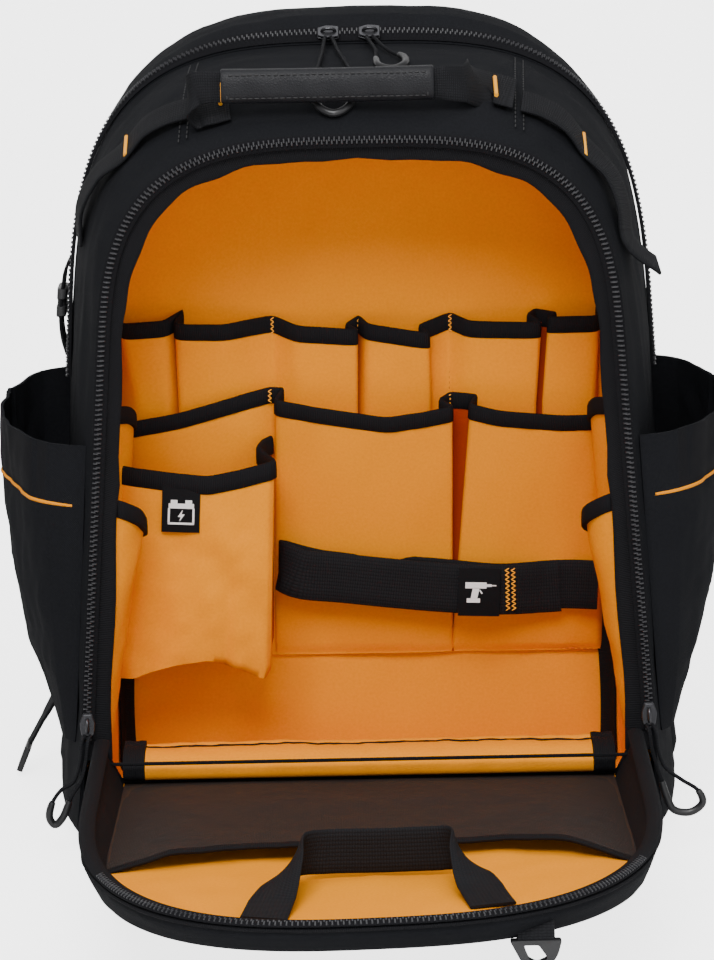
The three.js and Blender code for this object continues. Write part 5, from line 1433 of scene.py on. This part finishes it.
# Flap facing: a soft black strip that rolls from the lining up to the rim of the flap.
# It is sewn to both, with the same slack as the facing of the mouth.
facing_loop = flap_loop(flap_wall + seam_gap, flap_wall + seam_gap)
half_count = (len(facing_loop) - 2) // 2
run = [tuple(p) for p in facing_loop[1:half_count + 2] if p[1] < lip_front_y - 3]
run = [(run[0][0], lip_front_y - 2)] + run
outer_line, inner_line = [], []
for x, y in run + [(-x, y) for x, y in run[:-1]][::-1]:
    tipward = clamp01((flap_shoulder_y - y) / (flap_shoulder_y - flap_tip_y))
    width = blend(flap_facing_width, flap_tip_facing, tipward ** 1.5) + seam_gap - flap_wall
    away = np.array([x, min(0.0, y - flap_shoulder_y)])
    away /= np.linalg.norm(away)
    ix, iy = x - away[0] * width, y - away[1] * width
    outer_line.append((x, y, flap_rim_z - 0.4))
    inner_line.append((ix, iy, flap_lining_at(ix, iy) + seam_gap + 1.0))
outer_line, inner_line = np.array(outer_line), np.array(inner_line)
rows = []
for share, puff in zip(np.linspace(0, 1, 10), (0, 1.0, 1.7, 2.1, 2.2, 2.1, 1.8, 1.3, 0.7, 0.0)):
    line = outer_line * (1 - share) + inner_line * share
    line[:, 2] += puff
    rows.append(line)
facing_grid = np.array(rows)
middle_rows = np.sin(np.linspace(0, math.pi, 10))[:, None]
facing_grid[..., 2] += middle_rows * (0.9 * ripple(facing_grid, 40, 90) + 0.45 * ripple(facing_grid, 15, 91))
flap_tape = cloth_sheet("flap_facing_tape", askew(facing_grid), 1.4, "binding")
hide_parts("flap_facing")


# Flap zip: the other half of the mouth zip, woven tape round the rim with one row of teeth.
# A line of black piping is sewn under the tape.


# Zip tape and teeth round the flap's rim, and a line of piping under the tape
def rim_path(inward, z, y_from=-118):
    loop = flap_loop(inward, 0)
    right = [p for p in loop[1:(len(loop) - 2) // 2 + 2] if p[1] < y_from]
    left = [(-x, y) for x, y in right[:-1]][::-1]
    return askew([(x, y, z) for x, y in list(right) + left])


rim_top = flap_rim_z + seam_gap + 0.2
tape_rows = [rim_path(inward, rim_top + lift) for inward, lift in
             ((-0.6, 0.2), (0.6, 1.3), (2.6, 1.9), (4.8, 1.7), (6.6, 1.1), (7.4, 0.3))]
flap_tape_band = cloth_sheet("flap_zip_tape", np.array(tape_rows), -1.0, "zip_tape")
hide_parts("flap_zip")
tooth_line = rim_path(1.6, rim_top + 1.5, -372)
inner_tooth = rim_path(6, rim_top + 1.5, -372)
zip_row("flap_zip_teeth", tooth_line, np.tile([0, -0.5, 1.0], (len(tooth_line), 1)), inner_tooth - tooth_line)
low_line = askew(tray_rings[7][tray_rings[7][:, 1] < -128])
low_line += np.array([[0.4 * np.sign(x), -0.4, 0] for x in low_line[:, 0]])
start = int(np.argmax(np.linalg.norm(np.diff(low_line, axis=0), axis=1)))
low_line = np.concatenate([low_line[start + 1:], low_line[:start + 1]]) if start < len(low_line) - 2 else low_line
loft("flap_piping", tube_rings(resample(low_line, 260), 1.1, 6), "binding")


# Mesh pocket: a stretched sheet of open knitted mesh over the upper half of the flap's lining.
# It is sewn in at the sides and the top, and its free edge is hemmed.


# Open mesh: dark threads with small see-through holes in offset rows
def mesh_material():
    g = Graph("mesh")
    uv = coordinates(g, "UV")
    axes = plane_of(g, uv)
    pitch = 0.0019
    row = g.math("MULTIPLY", g.wave(axes[0], pitch), g.wave(axes[1], pitch))
    hole = g.math("GREATER_THAN", row, 0.12)
    patches = g.noise(coordinates(g, "Object"), 12.0, 3.0)
    streaks = g.noise(uv, 160.0, 2.0)
    color = g.mix(g.math("MULTIPLY_ADD", streaks, 0.6, g.math("MULTIPLY", patches, 0.4)),
                  (0.004, 0.0025, 0.002), (0.022, 0.011, 0.007))
    g.finish(color, 0.75, g.bump(row, 0.5, 0.0005))
    clear = g.add("ShaderNodeBsdfTransparent")
    blend = g.add("ShaderNodeMixShader")
    g.tree.links.new(g.math("MULTIPLY", hole, 0.3), blend.inputs["Fac"])
    g.link(g.surface, "BSDF", blend, 1)
    g.link(clear, "BSDF", blend, 2)
    g.link(blend, "Shader", g.output, "Surface")
    return g.material


materials["mesh"] = mesh_material()
mesh_hem_y, mesh_stand = -303, 8
mesh_half = flap_half - flap_facing_width - 0.4
# Share of the half width, and how far back the hem lies there
mesh_hem_back = np.array([(-1, -30), (-0.96, -27), (-0.75, -17), (-0.5, -6), (-0.28, 0), (0, -8), (0.28, 0), (0.5, 4),
                          (0.75, -8), (0.96, -32), (1, -37)])
rows = []
for share in np.linspace(0, 1, 34):
    row = []
    for s in np.linspace(-1, 1, 90):
        hem = mesh_hem_y + np.interp(s, mesh_hem_back[:, 0], mesh_hem_back[:, 1])
        y = blend(flap_lining_front - 0.5, hem, share)
        stand = mesh_stand * min(1.0, (1 - abs(s)) * 4) * min(1.0, share * 2.2)
        row.append((s * mesh_half, y, flap_lining_at(s * mesh_half, y) + seam_gap + 0.8 + stand))
    rows.append(row)
mesh_grid = soften(np.array(rows), 4)
free = (np.clip((1 - np.abs(np.linspace(-1, 1, 90))) * 7, 0, 1)[None, :]
        * np.clip(np.linspace(0, 1, 34) * 4, 0, 1)[:, None])
mesh_grid[..., 2] += free * (1.3 * ripple(mesh_grid, 80, 92) + 0.4 * ripple(mesh_grid, 25, 93))
mesh_grid = askew(mesh_grid)
mesh_sheet = cloth_sheet("mesh_sheet", mesh_grid, -0.5, "mesh")
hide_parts("mesh_pocket")
hem_line = mesh_grid[-1]
hem_rings = [hem_line + [0, dy, dz] for dy,
             dz in ((3.4, 0.6), (2.8, 1.2), (-2.6, 1.1), (-3.2, 0.4), (-2.6, -0.9), (2.8, -0.9))]
mesh_hem = loft("mesh_hem", np.array(hem_rings).transpose(1, 0, 2), "binding")
float(lengths(mesh_grid[16])[-1] * MM)
float(lengths(mesh_grid[:, 45])[-1] * MM)


# Flap strap: one length of black webbing that stands up as a loop from the flap's lining.
# It is sewn down at its folds.
strap_rows = [(-57, 0.904, 0, 1, 0.05, 0), (-53, 0.845, 4, 1, 0.1, 0.1), (-46, 0.76, 12, 0.8, 0.1, 0.6),
              (-37, 0.69, 15, 0.2, 0, 1), (-24, 0.667, 14, 0, 0, 1), (5, 0.662, 13.4, 0, 0, 1),
              (33, 0.667, 14, 0, 0, 1), (44, 0.681, 15, -0.2, 0, 1), (51, 0.732, 12, -0.8, 0.1, 0.6),
              (57, 0.797, 4, -1, 0.1, 0.1), (63, 0.876, 0, -1, 0.05, 0)]
path, across = [], []
for x, share, lift, wx, wy, wz in strap_rows:
    y = blend(flap_hinge_y, flap_tip_y, share)
    path.append((x, y, flap_lining_at(x, y) + 1 + seam_gap + 0.9 + lift))
    across.append((wx, wy, wz))
flap_loop_web = ribbon("flap_loop_web", askew(path), across, 25, 1.8, "webbing", count=150)
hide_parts("flap_strap")


# Hook: a moulded plastic hook under the tip of the flap, which closes the flap over the body.
# It is threaded on a short black tab that is sewn to the cloth above it.
hook_w, hook_h = 28, 16
hook_y = flap_tip_y + 20
hook_x = flap_half_at(hook_y, 0) * 0.9
hook_top = flap_floor_at(hook_x - hook_w / 2, hook_y) - 2 * seam_gap
outer_hook = rounded_outline([(-hook_w / 2, 0, 2), (hook_w / 2, 0, 2), (hook_w * 0.42, -hook_h * 0.55, 3),
                              (hook_w * 0.24, -hook_h, 4), (-hook_w * 0.2, -hook_h, 3),
                              (-hook_w * 0.32, -hook_h * 0.62, 2.5)])
inner_hook = rounded_outline([(-hook_w * 0.22, -hook_h * 0.2, 1.2), (hook_w * 0.05, -hook_h * 0.2, 1.2),
                              (hook_w * 0.22, -hook_h * 0.64, 2), (0.5, -hook_h * 0.8, 1.6),
                              (-hook_w * 0.13, -hook_h * 0.66, 1.4), (-hook_w * 0.19, -hook_h * 0.4, 1)])
hook_rings = []
for line, y, grow in ((outer_hook, -1.6, 0.985), (outer_hook, -2.5, 0.94), (inner_hook, -2.5, 1.04),
                      (inner_hook, -1.6, 1.0),
                      (inner_hook, 1.6, 1.0), (inner_hook, 2.5, 1.04), (outer_hook, 2.5, 0.94),
                      (outer_hook, 1.6, 0.985)):
    middle = line.mean(axis=0)
    ring = middle + (line - middle) * grow
    hook_rings.append([(hook_x + x, hook_y + y, hook_top + z) for x, z in ring])
hook_rings = np.array(hook_rings)
hook_rings[..., 1] += askew([hook_x, hook_y, 0])[1] - hook_y
hook = loft("hook_body", hook_rings, "hard_plastic", looped=True, angle=40)
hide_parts("hook")
tab_y = float(hook_rings[0, 0, 1]) + 1.6
ribbon("hook_tab", [(hook_x, tab_y + 6, hook_top + 9), (hook_x, tab_y + 1.5, hook_top + 4),
                    (hook_x, tab_y, hook_top - 3)],
       (1, 0, 0), 20, 4.4, "webbing", count=20)


# Side pockets: one on each outer side of the body, black cloth, wide at the rim and narrow below.
# The rim is gathered by a band, and orange piping is sewn under it and down the edges.


def body_half(y, z):
    return half_at(main_outline(y) if y < seam_y else rear_outline(y), z)


def side_point(side, height, out, u, inward):
    y = blend(side_front, side_back, u)
    z = blend(side_low, side_top, height) + 14 * u * height
    plan = max(0.0, math.sin(math.pi * u)) ** 0.5
    wall = body_half(y, z) + seam_gap + (zip_thick if seam_y - zip_width < y < seam_y + 1 else 0)
    reach = side_reach * out * plan * (1 - clamp01(u) * 0.12)
    return np.array([side * (wall + 0.4 + max(0, reach - inward) + (side_wall - inward)), y, z])


side_reach, side_wall, side_top, side_low, side_front, side_back = 41, 1.8, 245, 64, -97, 74
side_rows = np.array([(0, 0.02), (0.1, 0.2), (0.24, 0.5), (0.45, 0.74), (0.68, 0.88), (0.9, 1.0), (1, 1.02)])
plan_steps = (1 - np.cos(np.linspace(0, math.pi, 130))) / 2
for label, side in (("left", -1), ("right", 1)):
    rows = []
    for share in np.linspace(0, 1, 46):
        out = float(np.interp(share, side_rows[:, 0], side_rows[:, 1]))
        rows.append([side_point(side, share, out, u, 0) for u in plan_steps])
    grid = np.array(rows)
    free = (np.clip(np.sin(math.pi * plan_steps) * 3, 0, 1)[None, :]
            * np.clip(np.linspace(0, 1, 46) * 6, 0, 1)[:, None])
    high = np.clip((np.linspace(0, 1, 46) - 0.86) * 9, 0, 1)[:, None]
    gather_wave = np.sin(plan_steps * 52 + 1.4 * np.sin(plan_steps * 19)) * (0.6 + 0.4 * np.sin(plan_steps * 11))
    gathers = gather_wave[None, :] * high * 0.8
    sewn = np.clip(1 - np.sin(math.pi * plan_steps) * 6, 0, 1)[None, :]
    slack = 2.6 * ripple(grid * [0.4, 1, 0.5], 75, 100 + side) + 1.0 * ripple(grid, 33, 102 + side)
    grid[..., 0] += side * (free * (gathers + slack * (1 - high * 0.6) * 0.9 - 0.6) - 3.2 * sewn)
    grid[..., 2] += free * high * 1.2 * ripple(grid, 46, 104)
    sheet = cloth_sheet(f"side_cloth_{label}", grid[::-1] if side < 0 else grid, 1.6, "black_cloth", angle=80)
    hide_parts(f"side_pocket_{label}")
    band = grid[-9:].copy()
    band[..., 0] += side * (0.9 + 0.3 * np.abs(gather_wave)[None, :])
    band_sheet = cloth_sheet(f"side_elastic_{label}", band[::-1] if side < 0 else band, 0.9, "binding", angle=80)
    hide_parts(f"side_band_{label}")
    line = grid[-10] + [side * 1.3, -0.3, 0]
    line = line[6:82]
    cord = loft(f"side_pipe_{label}", tube_rings(resample(line, 90), 1.25, 8), "piping")
    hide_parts(f"side_piping_{label}")


# Handle: a stitched leather-like sleeve round folded webbing.
# The webbing leaves the sleeve at both ends and is sewn flat to the roof.


def leather_material():
    g = Graph("leather")
    place = coordinates(g, "Object")
    cells = g.add("ShaderNodeTexVoronoi", {"feature": "DISTANCE_TO_EDGE"}, Scale=650.0)
    g.tree.links.new(place, cells.inputs["Vector"])
    creases = g.noise(place, 60.0, 5.0, 0.65)
    height = g.math("MULTIPLY_ADD", cells.outputs["Distance"], 1.4, g.math("MULTIPLY", creases, 1.0))
    color = g.mix(creases, (0.006, 0.006, 0.008), (0.016, 0.0165, 0.019))
    g.surface.inputs["Specular IOR Level"].default_value = 0.22
    return g.finish(color, g.math("MULTIPLY_ADD", creases, 0.25, 0.36), g.bump(height, 0.4, 0.0006))


materials["leather"] = leather_material()


# Places on the roof and on the sides, with the band's width along the surface
def roof_point(x, y, lift):
    return np.array([x, y + lean_at(y, mouth_top) * 0.9, roof_at(main_outline(y), x) + lift])


def on_roof(x, y, lift, width):
    return roof_point(x, y, lift), roof_point(x, y + width * 0.4, 0) - roof_point(x, y - width * 0.4, 0), width


def strap_of(name, stations, thick=1.9, count=120, finish="webbing"):
    path = [s[0] for s in stations]
    ways = []
    for k, station in enumerate(stations):
        way = np.asarray(station[1], float)
        way = way / np.linalg.norm(way)
        if k and np.dot(way, ways[-1]) < 0:
            way = -way
        ways.append(way)
    widths = [s[2] for s in stations]
    return ribbon(name, path, np.array(ways), widths, thick, finish, count)


grip_y, grip_from, grip_to, grip_tall, grip_deep = -94, -78, 45, 20, 13
grip_z = roof_at(main_outline(grip_y), 0) + grip_tall / 2 + 6
rings = []
for x in np.concatenate([[grip_from], np.linspace(grip_from + 0.8, grip_to - 0.8, 60), [grip_to]]):
    edge = 0.94 if x in (grip_from, grip_to) else 1
    bow = 0.5 * ((x - (grip_from + grip_to) / 2) / 62) ** 2
    ring = []
    for k in range(30):
        a = 2 * math.pi * k / 30
        c, s = math.cos(a), math.sin(a)
        w = abs(c) ** 0.75 * math.copysign(1, c) * grip_deep * 0.5 * edge
        h = abs(s) ** 0.75 * math.copysign(1, s) * grip_tall * 0.5 * edge
        dent = 0.5 * math.sin(x / 9.0) * max(0.0, -c) + 0.35 * math.sin(x / 3.7 + s * 2)
        ring.append((x, grip_y + w + dent * 0.5, grip_z + h + bow))
    rings.append(ring)
grip = loft("grip_sleeve", rings, "leather")
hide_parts("handle_grip")
for k, (dz, length) in enumerate(((-6.2, 1), (7.4, 1))):
    line = [(x, grip_y - grip_deep * 0.5 + 0.5, grip_z + dz) for x in np.linspace(grip_from + 4, grip_to - 4, 30)]
    stitches(f"grip_seam_{k}", line, (0, -1, 0.0), "black_thread", 2.6, 1.1, 0.8, 0.2)
for k, x in enumerate((grip_from + 3.5, grip_to - 3.5)):
    line = [(x, grip_y - grip_deep * 0.5 + 0.4, grip_z + z) for z in np.linspace(-7, 7, 8)]
    stitches(f"grip_end_{k}", line, (0, -1, 0.0), "black_thread", 2.2, 1.0, 0.8, 0.2)
handle_left = strap_of("handle_tape_left", [
    on_roof(-74, -84, 2.6, 28), on_roof(-84, -84, 2.8, 28), on_roof(-93, -85, 5.5, 27),
    (np.array([-97, -88, grip_z - 7]), (0, 0.5, 0.8), 25),
    (np.array([-93, grip_y + 1, grip_z - 1]), (0, 0.15, 1), 20),
    (np.array([grip_from - 6, grip_y, grip_z]), (0, 0, 1), 18),
    (np.array([grip_from - 0.4, grip_y, grip_z]), (0, 0, 1), 18)])
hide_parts("handle_web_left")
handle_right = strap_of("handle_tape_right", [
    (np.array([grip_to + 0.4, grip_y, grip_z]), (0, 0, 1), 18),
    (np.array([grip_to + 6, grip_y, grip_z]), (0, 0, 1), 20),
    (np.array([grip_to + 18, grip_y + 8, grip_z - 2]), (0, 0.4, 1), 22),
    on_roof(76, -68, 4.2, 38), on_roof(93, -68, 4.2, 38)])
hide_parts("handle_web_right")


# Shoulder loops: black webbing sewn over both shoulders so that it makes small loops.
# Short tight bars of orange thread hold the webbing down, here and at the handle's ends.


def on_side(side, y, z, lift, width):
    def at(place, out):
        return np.array([side * (body_half(place, z) + out), place + lean_at(place, z), z])
    return at(y, lift), at(y + width * 0.4, 0) - at(y - width * 0.4, 0), width


def bartack(name, x, y, lift, half):
    ends = np.array([on_roof(x, y + way * half, lift, 0)[0] for way in (-1, 1)])
    return loft(name, tube_rings(resample(ends, 12), 1.3, 8), "thread")


daisy_left = strap_of("shoulder_loop_left", [
    on_roof(-98, -72, 3.2, 25), on_roof(-110, -70, 5, 25), on_roof(-124, -66, 6, 25), on_roof(-137, -62, 3, 25),
    on_side(-1, -54, 399, 7, 25), on_side(-1, -46, 378, 7, 25), on_side(-1, -42, 358, 2.2, 25)])
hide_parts("daisy_left")
daisy_right = strap_of("shoulder_loop_right", [
    on_roof(97, -72, 3.2, 25), on_roof(109, -72, 5, 25), on_roof(122, -73, 6, 25), on_roof(134, -75, 3, 25),
    on_side(1, -78, 396, 6, 25), on_side(1, -82, 378, 5, 25), on_side(1, -86, 361, 2.6, 25),
    on_side(1, -84, 352, 6, 25),
    on_side(1, -80, 342, 15, 25)])
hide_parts("daisy_right")
bartack("bartack_loop_left", -136, -62, 4.6, 11)
bartack("bartack_loop_right", 133.5, -75, 4.6, 11)
bartack("bartack_handle_left", -79, -72, 5.6, 12)
bartack("bartack_handle_right", 82, -68, 5.6, 12)


# Shoulder straps: two foam pads with black cloth and a strip of webbing below each one.
# They are sewn to the top and the foot of the back. The photograph doesn't show them.
strap_back = back_y + seam_gap + back_padding
pad_rows = [(48, 7.5, 430, 0.95), (56, 9, 400, 1), (70, 24, 340, 1), (88, 32, 270, 1), (102, 30, 205, 0.9),
            (108, 22, 150, 0.6), (110, 18, 132, 0.5)]
low_rows = [(111, 17, 124.8), (120, 12, 90), (134, 5, 60), (146, 1.6, 44), (150, 1.5, 34)]
pad_profile = [(-0.5, 0.0), (-0.485, -0.28), (-0.44, -0.44), (-0.3, -0.5), (0, -0.5), (0.3, -0.5), (0.44, -0.44),
               (0.485, -0.28),
               (0.5, 0.0), (0.485, 0.28), (0.44, 0.44), (0.3, 0.5), (0, 0.5), (-0.3, 0.5), (-0.44, 0.44),
               (-0.485, 0.28)]
for label, side in (("left", -1), ("right", 1)):
    stations = np.array([(side * x, strap_back + out, z) for x, out, z, _ in pad_rows])
    line = resample(curve_points(stations, 160), 70)
    widths = np.interp(np.linspace(0, 6, 70), np.arange(7), [62 * row[3] for row in pad_rows])
    along = np.gradient(line, axis=0)
    along /= np.linalg.norm(along, axis=1, keepdims=True)
    ways = np.tile([1.0, 0, 0], (70, 1))
    ways -= along * np.sum(ways * along, axis=1, keepdims=True)
    ways /= np.linalg.norm(ways, axis=1, keepdims=True)
    out = np.cross(along, ways)
    thick = 12.6 + 0.5 * np.sin(np.linspace(0, 40, 70))
    rings = np.array([line + ways * (u * widths)[:, None] + out * (v * thick)[:, None] for u, v in pad_profile])
    pad = loft(f"shoulder_foam_{label}", rings.transpose(1, 0, 2), "padding", angle=70)
    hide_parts(f"shoulder_pad_{label}")
    low = strap_of(f"lower_tape_{label}", [(np.array([side * x, strap_back + o, z]), (1, 0, 0.3 * side), 25)
                                           for x, o, z in low_rows])
    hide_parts(f"lower_web_{label}")


# Loose strap: a short end of webbing at the left shoulder with a folded stop at its tip.
# It is sewn into the seam and hangs free.
loose_start = rear_half - 0.06 * 60
loose = strap_of("loose_tape_left", [
    (np.array([-loose_start - 1.9, 62, 59]), (0, 1, 0.1), 25),
    (np.array([-loose_start - 6, 62, 48]), (0, 1, 0.2), 25),
    (np.array([-loose_start - 14, 60, 34]), (0.1, 1, 0.2), 25),
    (np.array([-loose_start - 22, 58, 20]), (0.1, 1, 0.2), 25)])
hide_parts("loose_web_left")
stop = strap_of("loose_end_left", [
    (np.array([-loose_start - 22.6, 58, 18.6]), (0.1, 1, 0.2), 28.5),
    (np.array([-loose_start - 24.5, 57.8, 14]), (0.1, 1, 0.2), 28.5),
    (np.array([-loose_start - 27, 57.4, 8]), (0.1, 1, 0.2), 27.5),
    (np.array([-loose_start - 29, 57, 3]), (0.1, 1, 0.2), 26.5)],
    3.8, 30, "hard_plastic")
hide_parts("loose_stop_left")


# Edge strap: webbing that lies down the left edge of the rear body.
# A moulded buckle is threaded on it.
edge_strap = strap_of("edge_strap", [(np.array([-body_half(48, z) - out, 48, z]), (0, 1, 0), 24.5) for z, out in
                      ((334, 1.9), (327, 5), (317, 6), (306, 6.4), (296, 6.6), (284, 5), (274, 1.9))])
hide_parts("side_strap_left")
buckle_rings = []
for z, size in ((315.5, 0.9), (315, 1), (309, 1), (308, 0.86), (305, 0.86), (304, 1), (298.5, 1), (297.5, 0.9)):
    middle = np.array([-body_half(48, z) - 6.3, 48, z])
    ring = []
    for a in np.linspace(0, 2 * math.pi, 24, endpoint=False):
        c, s = math.cos(a), math.sin(a)
        ring.append(middle + [abs(c) ** 0.5 * math.copysign(3.2 * size, c),
                              abs(s) ** 0.3 * math.copysign(12.4 * size, s), 0])
    buckle_rings.append(ring)
loft("edge_buckle", buckle_rings, "hard_plastic", angle=35)


# Studio floor: a plain pale sheet that curves up far behind the backpack.
# It only stands for the surroundings.


# The studio floor glows a little, only as the camera sees it, so that it stays pale
def floor_material():
    g = Graph("floor")
    patches = g.noise(coordinates(g, "Object"), 3.0)
    direct = g.add("ShaderNodeLightPath").outputs["Is Camera Ray"]
    g.surface.inputs["Emission Color"].default_value = (1, 1, 1, 1)
    g.tree.links.new(g.math("MULTIPLY", direct, 3.2), g.surface.inputs["Emission Strength"])
    return g.finish((0.85, 0.85, 0.85), g.math("MULTIPLY_ADD", patches, 0.1, 0.6))


materials["floor"] = floor_material()
floor_half = 1600
floor_profile = [(-1300, 0), (-600, 0), (0, 0), (500, 0), (800, 10), (1000, 60), (1150, 180), (1230, 380),
                 (1260, 700), (1265, 1500)]
rows = []
for y, z in floor_profile:
    rows.append([(x, y, z) for x in np.linspace(-floor_half, floor_half, 9)])
grid = np.array(rows)
floor_mesh = bpy.data.meshes.new("studio_floor")
count = grid.shape[1]
faces = [(r * count + c, r * count + c + 1, (r + 1) * count + c + 1, (r + 1) * count + c)
         for r in range(len(rows) - 1) for c in range(count - 1)]
floor_mesh.from_pydata([tuple(p * MM) for p in grid.reshape(-1, 3)], [], faces)
smooth_shade(floor_mesh, 80)
floor_mesh.materials.append(materials["floor"])
studio_floor = bpy.data.objects.new("studio_floor", floor_mesh)
bpy.context.collection.objects.link(studio_floor)


# Studio light: four soft lamps and an even pale sky.
# The key lamp stands in front, a little to the left and above.


def lamp(name, place, aim, size, power, spread=180):
    light = bpy.data.lights.new(name, "AREA")
    light.shape = "RECTANGLE"
    light.size, light.size_y = size
    light.energy = power
    light.spread = math.radians(spread)
    lamp_object = bpy.data.objects.new(name, light)
    way = Vector(aim) - Vector(place)
    lamp_object.matrix_world = Matrix.Translation(Vector(place)) @ way.to_track_quat("-Z", "Y").to_matrix().to_4x4()
    bpy.context.collection.objects.link(lamp_object)


lamp("key", (-0.25, -1.7, 1.75), (0, -0.05, 0.3), (1.1, 0.9), 46)
lamp("fill", (1.3, -1.5, 1.0), (0, 0, 0.25), (1.4, 1.2), 8)
lamp("top", (0, -0.3, 2.0), (0, -0.1, 0.3), (1.8, 1.2), 16)
lamp("front", (0.1, -2.6, 0.5), (0, 0, 0.25), (1.2, 0.8), 10)
world = bpy.data.worlds.new("studio")
world.use_nodes = True
world.node_tree.nodes["Background"].inputs["Color"].default_value = (1, 1, 1, 1)
world.node_tree.nodes["Background"].inputs["Strength"].default_value = 0.32
bpy.context.scene.world = world


# Camera: the photograph's place, pitch and slight roll.
# The same values place the pieces that were measured in the photograph.
camera_data = bpy.data.cameras.new("camera")
camera_data.lens = 156.54
camera_data.sensor_width = 36
camera_data.clip_end = 50
camera = bpy.data.objects.new("camera", camera_data)
turn = Matrix((right_way, up_way, -ahead)).transposed().to_4x4()
camera.matrix_world = Matrix.Translation(camera_place) @ turn
bpy.context.collection.objects.link(camera)
bpy.context.scene.camera = camera
